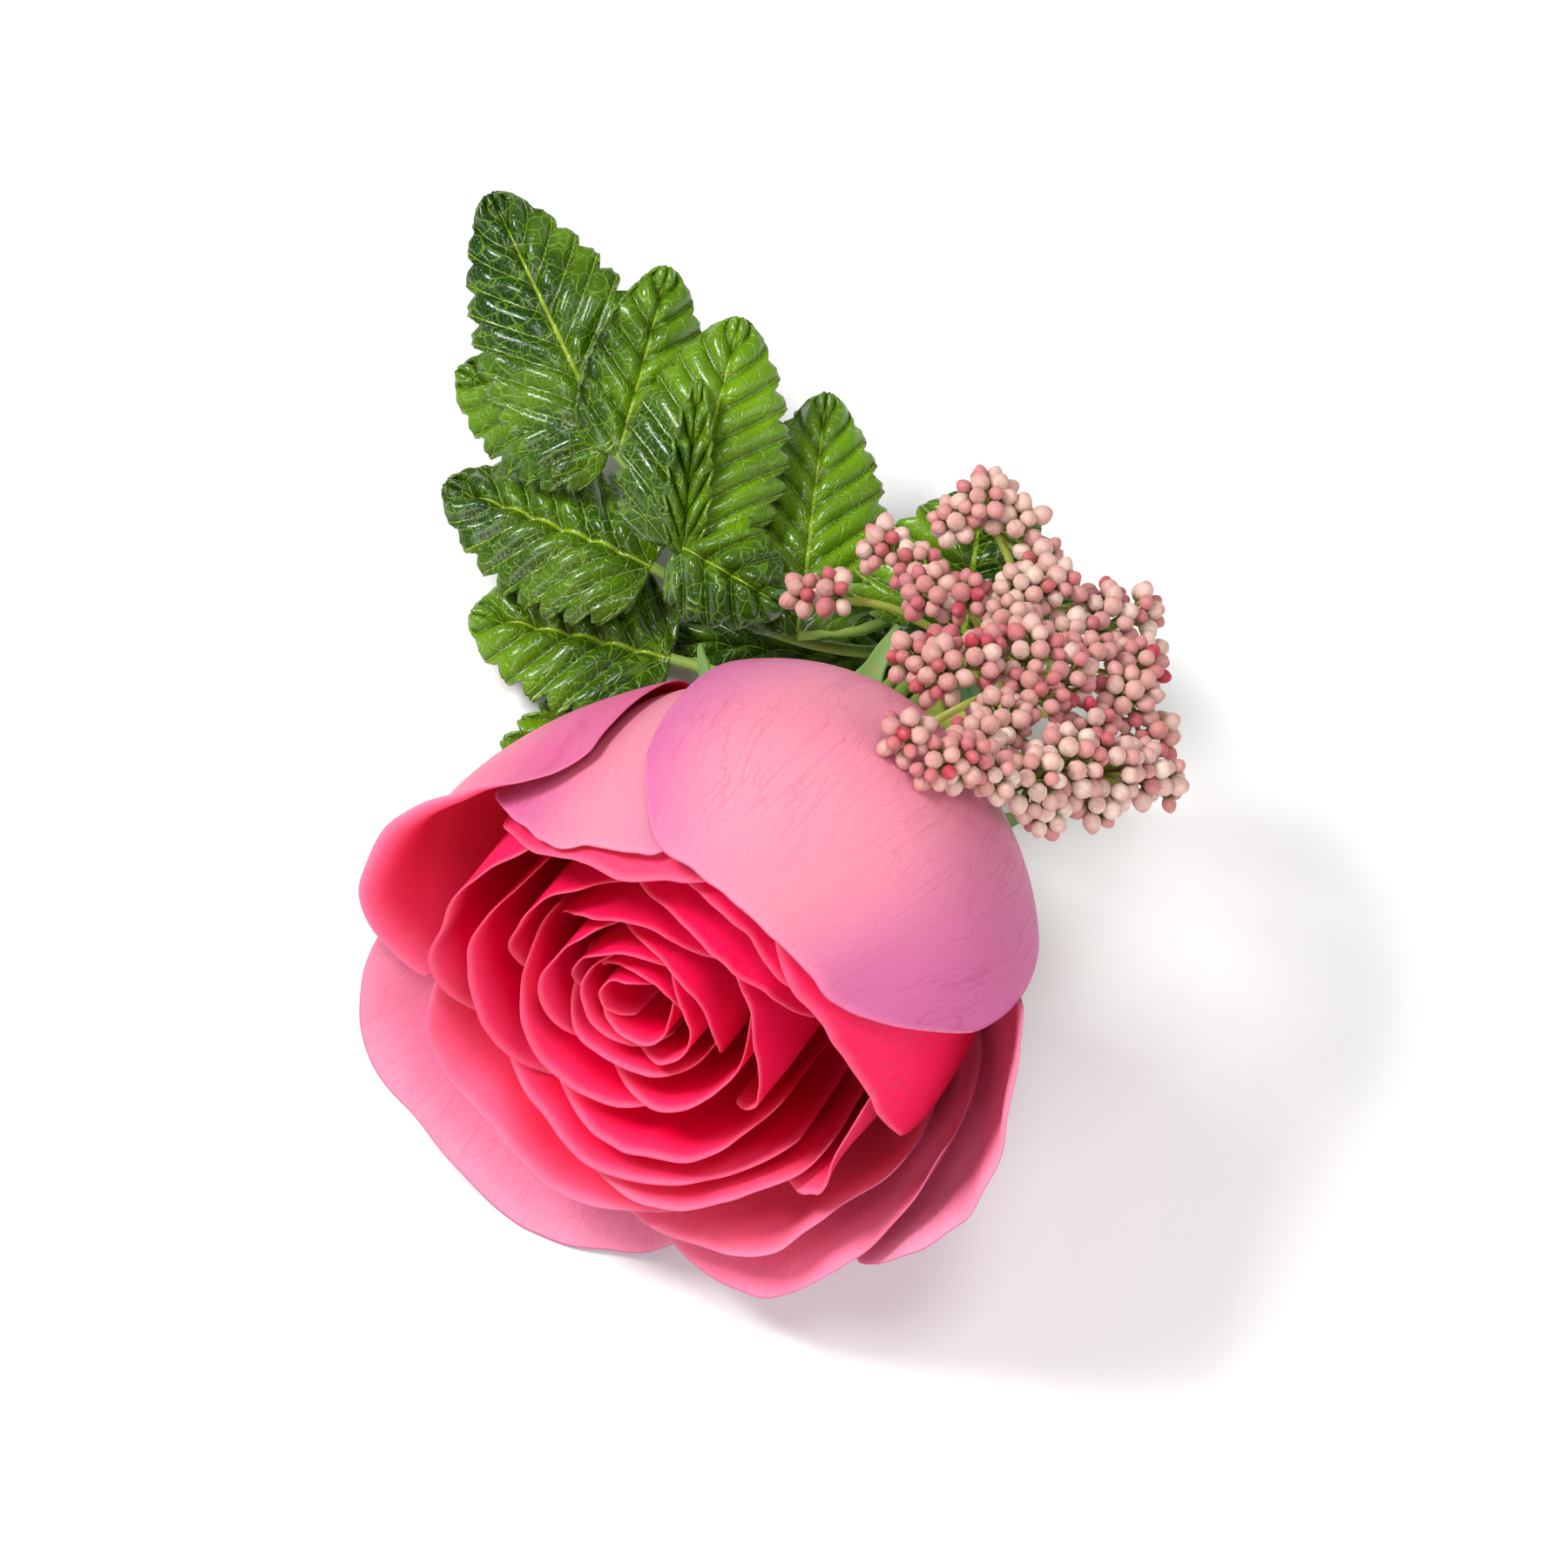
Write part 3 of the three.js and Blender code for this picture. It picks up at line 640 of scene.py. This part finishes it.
class StageSettings(bpy.types.PropertyGroup):
    table_colour: bpy.props.FloatVectorProperty(
        name="Table", description="Colour of the table",
        default=(0.93, 0.93, 0.93), size=3, subtype="COLOR", min=0, max=1,
    )
    rise: bpy.props.FloatProperty(
        name="Camera height", description="Angle of the camera above the table",
        default=math.radians(65), subtype="ANGLE", unit="ROTATION",
    )
    distance: bpy.props.FloatProperty(
        name="Camera distance", description="From the camera to the posy",
        default=2.0, subtype="DISTANCE", unit="LENGTH",
    )
    view_width: bpy.props.FloatProperty(
        name="View width", description="Width that the camera takes in at the posy",
        default=0.1915, subtype="DISTANCE", unit="LENGTH",
    )


# ---- Operators ----


class POSY_OT_petals(bpy.types.Operator):
    """Build the rose's petals"""

    bl_idname = "posy.petals"
    bl_label = "Petals"

    def execute(self, context):
        settings = context.scene.posy_petals
        inside = petal_look("Petal inside", False)
        outside = petal_look("Petal outside", True)
        petals = dict(OUTER_PETALS)
        for i in range(INNER_COUNT):
            petals[f"heart_{i + 1:02d}"] = inner_petal(i)
        for seed, (name, petal) in enumerate(petals.items()):
            shape = dict(petal, ruffle=petal["ruffle"] * settings.ruffle)
            bm = sheet(30, 24, lambda t, s: petal_point(shape, t, s, seed))
            for key in ("depth", "pale"):
                layer = bm.verts.layers.float.new(key)
                for vert in bm.verts:
                    vert[layer] = petal[key]
            piece = finished(bm, f"Petal_{name}", outside, inside)
            thicken(piece, settings.thickness, 1)
            soften(piece)
            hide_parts(f"petal_{name}")
        return {"FINISHED"}


class POSY_OT_calyx(bpy.types.Operator):
    """Build the hip and the sepals under the bloom"""

    bl_idname = "posy.calyx"
    bl_label = "Hip and sepals"

    def execute(self, context):
        green = green_look("Calyx green", (0.10, 0.22, 0.035), (0.17, 0.30, 0.06))
        profile = [(r * SPREAD, share * BLOOM_HEIGHT) for r, share in (
            (0, 0.163), (0.6, 0.155), (2.0, 0.098), (3.6, 0.040), (5.0, 0.014), (6.1, -0.014)
        )] + [
            (HIP_RADIUS, -2.2), (HIP_RADIUS * 0.98, -0.4 * HIP_LENGTH),
            (HIP_RADIUS * 0.75, -0.75 * HIP_LENGTH),
            (STEM_RADIUS, -HIP_LENGTH), (0, -HIP_LENGTH),
        ]
        bm = bmesh.new()
        verts = [bm.verts.new((r, 0, h)) for r, h in profile]
        edges = [bm.edges.new(pair) for pair in zip(verts, verts[1:])]
        bmesh.ops.spin(
            bm, geom=verts + edges, cent=(0, 0, 0), axis=(0, 0, 1), angle=math.tau, steps=32, use_merge=True
        )
        bmesh.ops.remove_doubles(bm, verts=bm.verts, dist=0.001)
        bmesh.ops.recalc_face_normals(bm, faces=bm.faces)
        for vert in bm.verts:
            x, y, z = vert.co
            swell = 1 + 0.03 * math.cos(5 * math.atan2(y, x)) * smooth(-HIP_LENGTH, -2, z)
            vert.co = from_bloom(x * swell, y * swell, z)
        hip = finished(bm, "Hip", green)
        soften(hip)
        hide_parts("hip")
        for i in range(5):
            at = math.radians(18 + 72 * i)

            def point(t, s):
                taper = 0.18 + 0.95 * math.sin(math.pi * clamp(s) ** 0.7)
                fringe = 1 + 0.12 * math.sin(34 * s + 3 * t) * smooth(0.1, 0.5, s)
                half = SEPAL_HALF_WIDTH * taper * (1 - 0.35 * s) * fringe
                out = HIP_RADIUS + GAP + 0.5 + 0.82 * SEPAL_LENGTH * s
                back = -2.4 + 1.5 * math.sin(math.pi * s) - 0.42 * SEPAL_LENGTH * s * s
                back += 1.2 * t * t * (1 - s)
                x = out * math.cos(at) - half * t * math.sin(at)
                y = out * math.sin(at) + half * t * math.cos(at)
                return from_bloom(x, y, back)

            piece = finished(sheet(8, 24, point), f"Sepal_{i + 1}", green)
            thicken(piece, 0.5)
            soften(piece)
            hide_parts(f"sepal_{i + 1}")
        return {"FINISHED"}


class POSY_OT_stem(bpy.types.Operator):
    """Build the rose's cut stem and the band that binds the posy"""

    bl_idname = "posy.stem"
    bl_label = "Stem and band"

    def execute(self, context):
        green = green_look("Rose stem", (0.09, 0.20, 0.03), (0.16, 0.28, 0.06))
        top = -HIP_LENGTH - GAP
        bend = from_bloom(0, 0, top - STEM_STRAIGHT)
        level = Vector((-bloom_axis.x, -bloom_axis.y, 0)).normalized()
        end = bend + level * (STEM_LENGTH - STEM_STRAIGHT)
        end.z = STEM_RADIUS
        path = [from_bloom(0, 0, top - share * STEM_STRAIGHT) for share in (0, 0.4, 0.8, 1)] + [end]
        stem = rope("Rose_stem", [(path, STEM_RADIUS)], green)
        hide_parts("rose_stem")

        band_look = tape_look()
        bore = STEM_RADIUS + 2 * SPRAY_STALK_RADIUS + 2.6 * GAP
        rings, turns = 16, 48

        def point(t, s):
            angle = math.pi * t
            lap = (3 * s + 0.5 * t + 0.5) % 1
            radius = bore + 0.35 + 0.28 * lap + 0.08 * math.sin(9 * angle + 5 * s)
            return from_bloom(
                radius * math.cos(angle), radius * math.sin(angle), BINDING_AT + BINDING_LENGTH * (s - 0.5)
            )

        bm = sheet(turns, rings * 3, point)
        bmesh.ops.remove_doubles(bm, verts=bm.verts, dist=0.01)
        band = finished(bm, "Band", band_look)
        thicken(band, 0.4)
        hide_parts("binding")
        return {"FINISHED"}


# Blade and stalk points are x and y from the band and z above the table, for a band at BINDING_HEIGHT.
# veins is how many side veins a blade has, and curl is the side that rolls over (-1 or 1) and how far.
LEAVES = {
    "leaf_upper": dict(slot=136, bend=[(-6, 13.2, 12), (-18, 20, 13.5), (-33, 26, 17.5)], blades=[
        dict(base=(-38, 31, 19), tip=(-52.5, 62, 25), half=9.8, bow=1.5, cup=-0.2, widest=0.7, veins=8),
        dict(base=(-37, 29.5, 19), tip=(-31, 52, 25), half=7.8, bow=1, cup=-0.25, lean=8, veins=6,
             curl=(-1, 2.2)),
        dict(base=(-37.5, 31, 19), tip=(-56.3, 43, 14.5), half=8.2, bow=1.5, cup=-0.25, lean=6, veins=6,
             curl=(1, 1.7)),
    ]),
    "leaf_right": dict(slot=102, bend=[(-2, 9.8, 19.2), (-14, 10.5, 22.5)], blades=[
        dict(base=(-29, 14.5, 24), tip=(-22, 42, 31), half=9.3, bow=2, cup=-0.3, veins=7),
        dict(base=(-29.5, 15, 24), tip=(-16.5, 7, 23), half=6.6, bow=1.5, cup=-0.35, veins=4),
        dict(base=(-29, 14, 24), tip=(-27, 32.5, 34), half=2.6, bow=1, cup=0.3, veins=5),
    ]),
    "leaf_left": dict(slot=170, bend=[(-7, 8, 8.8), (-20, 11, 10)], blades=[
        dict(base=(-32.8, 17.6, 12.6), tip=(-58, 29.6, 10), half=9.6, bow=1, cup=-0.3, lean=16, veins=7),
    ]),
    "leaf_lower_left": dict(slot=204, bend=[(-6, 5.5, 7), (-18, 5, 6)], blades=[
        dict(base=(-30.5, 8.5, 5.8), tip=(-55, 14.5, 5), half=9.6, bow=0.8, cup=-0.1, lean=17, veins=6),
    ]),
    "leaf_low": dict(slot=238, bend=[(-5, 4.5, 4.8), (-18, -0.5, 3.4)], blades=[
        dict(base=(-36, 2, 2.6), tip=(-54, -16.5, 2.2), half=8.4, bow=0.3, cup=-0.05, lean=18, veins=6),
    ]),
    "leaf_shade": dict(slot=272, bend=[(2, 8.5, 4.5)], blades=[
        dict(base=(-0.5, 9, 2.2), tip=(-31.5, 13, 2), half=6, bow=0.2, cup=-0.05, lean=19, veins=7),
    ]),
    "leaf_back": dict(slot=68, bend=[(3.2, 11.4, 14.8), (-7, 7.6, 15.8)], blades=[
        dict(base=(-15, 6, 17.5), tip=(-11.5, 37, 20), half=9, bow=1, cup=-0.25, veins=8),
    ]),
    "leaf_round": dict(slot=351, bend=[(12, 6, 12)], blades=[
        dict(base=(5, 4, 22), tip=(7.5, 20.5, 28), half=12.5, bow=1.5, cup=-0.12, widest=0.62, veins=5),
    ]),
}
LEAF_FACES = Vector((0, -0.35, 0.94))


def on_table(p):
    lift = (band_middle.z - BINDING_HEIGHT) * clamp(p[2] / BINDING_HEIGHT)
    return Vector((band_middle.x + p[0], band_middle.y + p[1], p[2] + lift))


def bound_part(at, radius, way):
    reach = STEM_RADIUS + 1.3 * GAP + radius
    a = math.radians(at)
    return [
        from_bloom(reach * math.cos(a), reach * math.sin(a), BINDING_AT + way * along)
        for along in (-BINDING_LENGTH / 2 - BUTT, 0, BINDING_LENGTH / 2, BINDING_LENGTH / 2 + 2)
    ]


def blade_point(blade, t, s, tooth, pucker, seed):
    start = on_table(blade["base"])
    chord = on_table(blade["tip"]) - start
    facing = Matrix.Rotation(math.radians(blade.get("lean", 0)), 3, chord.normalized()) @ LEAF_FACES
    normal = (facing - chord * (facing.dot(chord) / chord.length_squared)).normalized()
    side = chord.cross(normal).normalized()
    swell = math.sin(math.pi * clamp(s) ** blade.get("widest", 0.75)) ** 0.65
    width = blade["half"] * (0.08 + swell + 0.3 * (1 - clamp(s)) ** 4)
    edge = abs(t)
    ladder = blade["veins"] * (s - edge * LATERAL_SLOPE * (1 - 0.55 * s))
    between = abs(math.sin(math.pi * ladder))
    notch = tooth * between ** 5 + 0.25 * tooth * abs(math.sin(3 * math.pi * ladder + 0.7)) ** 3
    reach = t * (1 - notch * edge ** 3)
    puff = smooth(0, 0.2, s) * (between ** 0.7 * (1 - 0.25 * edge) - 0.7 * math.exp(-((t / 0.09) ** 2)))
    crumple = 0.6 * noise.noise(Vector((t * 2.2, s * 4.5, seed * 3.7)))
    droop = blade["half"] * 0.14 * noise.noise(Vector((s * 3, math.copysign(2, t), seed))) * edge ** 2
    away, up = width * reach, width * blade.get("cup", 0) * t * t
    hand, roll = blade.get("curl", (0, 0))
    if t * hand > 0.6:
        # The margin rolls over, so that its underside shows.
        turned = roll * (abs(reach) - 0.6) / 0.4 * smooth(0, 0.25, s)
        arc = 0.4 * width / roll
        away = hand * (0.6 * width + arc * math.sin(turned))
        up += arc * (1 - math.cos(turned)) * 1.2
    p = (
        start + chord * s + side * away
        + normal * (4 * blade.get("bow", 0) * s * (1 - s) + up + pucker * puff + crumple + droop)
    )
    p.z = max(p.z, TABLE_CLEARANCE)
    return p


class POSY_OT_leaves(bpy.types.Operator):
    """Build the lobed leaves and their stalks"""

    bl_idname = "posy.leaves"
    bl_label = "Leaves"

    def execute(self, context):
        settings = context.scene.posy_leaves
        face = leaf_look("Leaf face", False)
        back = leaf_look("Leaf back", True)
        stalk_green = green_look("Leaf stalk", (0.20, 0.32, 0.05), (0.30, 0.42, 0.08))
        for seed, (name, leaf) in enumerate(LEAVES.items()):
            whole = bmesh.new()
            for i, blade in enumerate(leaf["blades"]):
                bm = sheet(
                    32, 72,
                    lambda t, s: blade_point(blade, t, s, settings.tooth, settings.pucker, seed * 3.3 + i),
                )
                veins = bm.verts.layers.float.new("veins")
                for vert in bm.verts:
                    vert[veins] = blade["veins"]
                scrap = bpy.data.meshes.new("scrap")
                bm.to_mesh(scrap)
                bm.free()
                whole.from_mesh(scrap)
                bpy.data.meshes.remove(scrap)
            piece = finished(whole, name.capitalize(), face, back)
            thicken(piece, settings.thickness, 1)
            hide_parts(name)
            path = bound_part(leaf["slot"], PETIOLE_RADIUS, -1)
            path += [on_table(p) for p in leaf["bend"] + [leaf["blades"][0]["base"]]]
            stalk = rope(f"{name.capitalize()}_stalk", [(path, PETIOLE_RADIUS)], stalk_green, 0.8)
        return {"FINISHED"}


# Each node of buds is a few rounded heads, as (x, y, z, radius) from the seat.
BUD_HEADS = [
    [(20.5, 32.5, 22, 3.8), (17.5, 30, 20.5, 3.4), (24.5, 30, 20.5, 3.4)],
    [(8.5, 28, 18, 3.4), (12, 24.5, 20, 3.2)],
    [(-1, 23.2, 15, 2.6), (2.2, 22.8, 16, 3)],
    [(14, 18.5, 25, 3.8), (18, 17.5, 25.5, 3.2)],
    [(25, 18.5, 25, 3.6), (29, 20.5, 23, 3.2)],
    [(35, 18, 19, 3.8), (39, 20, 17, 3.2)],
    [(15, 4.5, 33, 4), (11.5, 6.5, 32, 3), (19, 5.5, 33.5, 3.4)],
    [(25.5, 8, 30, 4.4), (29.5, 5.5, 29, 4.2), (26.5, 2, 31.5, 3.8)],
    [(38.5, 10.5, 21, 3.8), (37, 5.5, 23.5, 4.2), (40, 2, 20.5, 3.6)],
    [(10.6, -12, 50, 3.2), (14.5, -15.3, 49, 3.2), (17.5, -14, 47, 3.4)],
    [(29.5, -8, 33, 5), (34.5, -7, 29, 4.6), (25.5, -12, 37, 4.2), (38.5, -5, 24.5, 4)],
]


# Heads of buds that fill the spaces between the others: the node they belong to, and (x, y, z, radius).
FILLERS = [
    (11, (22, -3, 35, 3.6)), (11, (19, -8.5, 41, 3.4)), (8, (21.5, 7.5, 31, 3.4)), (5, (23, 13.5, 27, 3.4)),
    (9, (33, 9.5, 25, 3.6)), (9, (33, 0, 27, 3.4)), (6, (31, 14, 22, 3.4)), (1, (27, 25.5, 20, 3)),
    (6, (39.5, 14, 17, 3)), (11, (41.5, -5.5, 22, 2.6)), (11, (21, -14.5, 44, 3)), (5, (35, 21.5, 17, 2.6)),
    (11, (27, -14.5, 34, 3)), (11, (33, -11.5, 29.5, 3)), (11, (42.5, -3.5, 22, 2)), (7, (15.5, 9, 29, 2.8)),
]


def from_seat(x, y, z):
    return seat + Vector((x, y, z)) * SPREAD


spray_fork = from_seat(24, 14, 2)


def bud_head(head, first):
    from_first = Vector(head[:3]) - Vector(first[:3])
    centre = from_seat(*first[:3]) + from_first
    out = ((centre - spray_fork).normalized() + Vector((0, 0, 0.6))).normalized()
    return centre, out, centre - out * 0.78 * head[3]


class POSY_OT_spray(bpy.types.Operator):
    """Build the rice-flower spray's branching stalk"""

    bl_idname = "posy.spray"
    bl_label = "Spray stalk"

    def execute(self, context):
        green = green_look("Spray stalk", (0.34, 0.40, 0.05), (0.46, 0.48, 0.09), 700.0, 0.5)
        strands = [(bound_part(30, SPRAY_STALK_RADIUS, 1) + [spray_fork], SPRAY_STALK_RADIUS)]
        for heads in BUD_HEADS:
            centre, out, foot = bud_head(heads[0], heads[0])
            from_axis = foot - seat
            from_axis = (from_axis - bloom_axis * from_axis.dot(bloom_axis)).normalized()
            bend = spray_fork.lerp(foot, 0.5) + from_axis * BRANCH_BOW * SPREAD
            strands.append(([spray_fork, bend, foot + out], BRANCH_RADIUS))
        stalk = rope("Spray_stalk", strands, green)
        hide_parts("spray_stalk")
        return {"FINISHED"}


class POSY_OT_buds(bpy.types.Operator):
    """Build the heads of round buds"""

    bl_idname = "posy.buds"
    bl_label = "Bud heads"

    def execute(self, context):
        settings = context.scene.posy_buds
        bract = bud_look()
        pedicel = green_look("Bud stalk", (0.30, 0.38, 0.05), (0.46, 0.44, 0.10), 900.0, 0.5)
        chance = random.Random(settings.seed)
        placed = []
        for number, heads in enumerate(BUD_HEADS):
            bm = bmesh.new()
            blush = bm.verts.layers.float.new("blush")
            height = bm.verts.layers.float.new("height")
            around = bm.verts.layers.float.new("around")

            def pedicel_between(low, high, radius):
                bar = high - low
                aimed = bar.to_track_quat("Z", "Y").to_matrix().to_4x4()
                made = bmesh.ops.create_cone(
                    bm, cap_ends=False, segments=5, radius1=radius, radius2=radius * 0.75, depth=bar.length,
                    matrix=Matrix.Translation(low + bar / 2) @ aimed,
                )
                for face in {f for v in made["verts"] for f in v.link_faces}:
                    face.material_index = 1

            full = heads + [head for node, head in FILLERS if node == number + 1]
            lumps = [(*bud_head(head, heads[0]), head[3]) for head in full]
            first_foot = lumps[0][2]
            head_blush = chance.uniform(0.15, 0.5)
            for lump, (centre, out, foot, radius) in enumerate(lumps):
                if lump:
                    pedicel_between(first_foot - out * 0.5, foot, 0.45)
                tilt = out.to_track_quat("Z", "Y").to_matrix()
                for i in range(BUD_TRIES):
                    # Directions over most of a sphere, each tried once and kept if it has room.
                    z = 1 - 1.5 * (i + 0.5) / BUD_TRIES
                    ring = math.sqrt(max(0, 1 - z * z))
                    a = math.radians(GOLDEN_ANGLE * i) + chance.uniform(-0.2, 0.2)
                    aim = tilt @ Vector((ring * math.cos(a), ring * math.sin(a), z))
                    size = settings.radius * chance.choice((0.76, 0.86, 0.95, 1.0, 1.0, 1.06))
                    spot = centre + aim * (radius - size * chance.uniform(0.3, 1.0)) - out * 0.2 * radius * z
                    if any((spot - other).length < BUD_SPACING * (size + wide) for other, wide in placed):
                        continue
                    if any((spot - other[0]).length < other[3] - 1.3 * size for other in lumps):
                        continue
                    placed.append((spot, size))
                    turn_to = aim.to_track_quat("Z", "Y").to_matrix().to_4x4()
                    place = Matrix.Translation(spot) @ turn_to @ Matrix.Diagonal((size, size, size * 1.1, 1))
                    made = bmesh.ops.create_uvsphere(
                        bm, u_segments=9, v_segments=7, radius=1, matrix=Matrix()
                    )
                    young = 0.35 if size < settings.radius * 0.8 else 0
                    tint = clamp(chance.gauss(head_blush, 0.16) + young)
                    for vert in made["verts"]:
                        x, y, z_here = vert.co
                        vert[blush] = tint
                        vert[height] = 0.5 + 0.5 * z_here
                        vert[around] = (math.atan2(y, x) / math.tau) % 1
                        vert.co = place @ Vector((x, y, z_here + 0.14 * smooth(0.8, 1, z_here)))
                    pedicel_between(foot, spot, 0.32)
            piece = finished(bm, f"Buds_{number + 1:02d}", bract, pedicel)
            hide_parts(f"buds_{number + 1:02d}")
        return {"FINISHED"}


class POSY_OT_stage(bpy.types.Operator):
    """Build the table, the lights and the camera"""

    bl_idname = "posy.stage"
    bl_label = "Table, lights and camera"

    def execute(self, context):
        settings = context.scene.posy_stage
        look = Look("Table top")
        cloud = look.noise(look.place(), 6.0, 2.0)
        tint = tuple(settings.table_colour)
        dim = tuple(c * 0.985 for c in tint)
        look.wear(
            base_color=look.mix(cloud, tint, dim), roughness=0.85 + cloud * 0.05, specular_ior_level=0.1
        )
        bm = bmesh.new()
        bmesh.ops.create_grid(bm, x_segments=2, y_segments=2, size=3)
        mesh = bpy.data.meshes.new("Table")
        bm.to_mesh(mesh)
        bm.free()
        mesh.materials.append(look.material)
        table = bpy.data.objects.new("Table", mesh)
        context.scene.collection.objects.link(table)

        target = Vector((seat.x - 3.5, seat.y + 18.2, 0)) * MM
        tilt = settings.rise
        data = bpy.data.cameras.new("Camera")
        data.type = "PERSP"
        data.sensor_width = SENSOR_WIDTH
        data.lens = SENSOR_WIDTH * settings.distance / settings.view_width
        data.clip_end = 20
        camera = bpy.data.objects.new("Camera", data)
        away = Vector((0, -math.cos(tilt), math.sin(tilt)))
        camera.location = target + away * settings.distance
        camera.rotation_euler = (math.pi / 2 - tilt, 0, 0)
        context.scene.collection.objects.link(camera)
        context.scene.camera = camera

        for name, place, size, power in (
            ("Key", (-0.6, 0.2, 0.95), 0.4, 12.5),
            ("Fill", (0.8, -0.45, 0.6), 0.8, 3.7),
            ("Front", (-0.3, -0.9, 0.7), 0.6, 5.5),
            ("Top", (0.15, -0.15, 1.3), 0.3, 4.5),
        ):
            lamp = bpy.data.lights.new(name, "AREA")
            lamp.size = size
            lamp.energy = power
            body = bpy.data.objects.new(name, lamp)
            body.location = place
            body.rotation_euler = (Vector((0, 0, 0.03)) - body.location).to_track_quat("-Z", "Y").to_euler()
            context.scene.collection.objects.link(body)
        world = bpy.data.worlds.new("Studio")
        world.use_nodes = True
        world.node_tree.nodes["Background"].inputs["Color"].default_value = (1, 1, 1, 1)
        world.node_tree.nodes["Background"].inputs["Strength"].default_value = 0.22
        context.scene.world = world
        context.scene.view_settings.view_transform = "Standard"
        return {"FINISHED"}


class POSY_PT_panel(bpy.types.Panel):
    """The posy's pieces and settings"""

    bl_label = "Rose posy"
    bl_space_type = "VIEW_3D"
    bl_region_type = "UI"
    bl_category = "Posy"

    def draw(self, context):
        layout = self.layout
        for operator, settings in PARTS:
            layout.operator(operator.bl_idname)
            if settings:
                group = getattr(context.scene, settings)
                for name in group.bl_rna.properties.keys():
                    if name not in ("rna_type", "name"):
                        layout.prop(group, name)


PARTS = (
    (POSY_OT_petals, "posy_petals"),
    (POSY_OT_calyx, None),
    (POSY_OT_stem, None),
    (POSY_OT_leaves, "posy_leaves"),
    (POSY_OT_spray, None),
    (POSY_OT_buds, "posy_buds"),
    (POSY_OT_stage, "posy_stage"),
)
GROUPS = {
    "posy_petals": PetalSettings,
    "posy_leaves": LeafSettings,
    "posy_buds": BudSettings,
    "posy_stage": StageSettings,
}


def register():
    for name, group in GROUPS.items():
        bpy.utils.register_class(group)
        setattr(bpy.types.Scene, name, bpy.props.PointerProperty(type=group))
    for operator, _ in PARTS:
        bpy.utils.register_class(operator)
    bpy.utils.register_class(POSY_PT_panel)


def unregister():
    bpy.utils.unregister_class(POSY_PT_panel)
    for operator, _ in reversed(PARTS):
        bpy.utils.unregister_class(operator)
    for name, group in GROUPS.items():
        delattr(bpy.types.Scene, name)
        bpy.utils.unregister_class(group)


def main():
    register()
    for operator, _ in PARTS:
        family, name = operator.bl_idname.split(".")
        getattr(getattr(bpy.ops, family), name)()


if __name__ == "__main__":
    main()
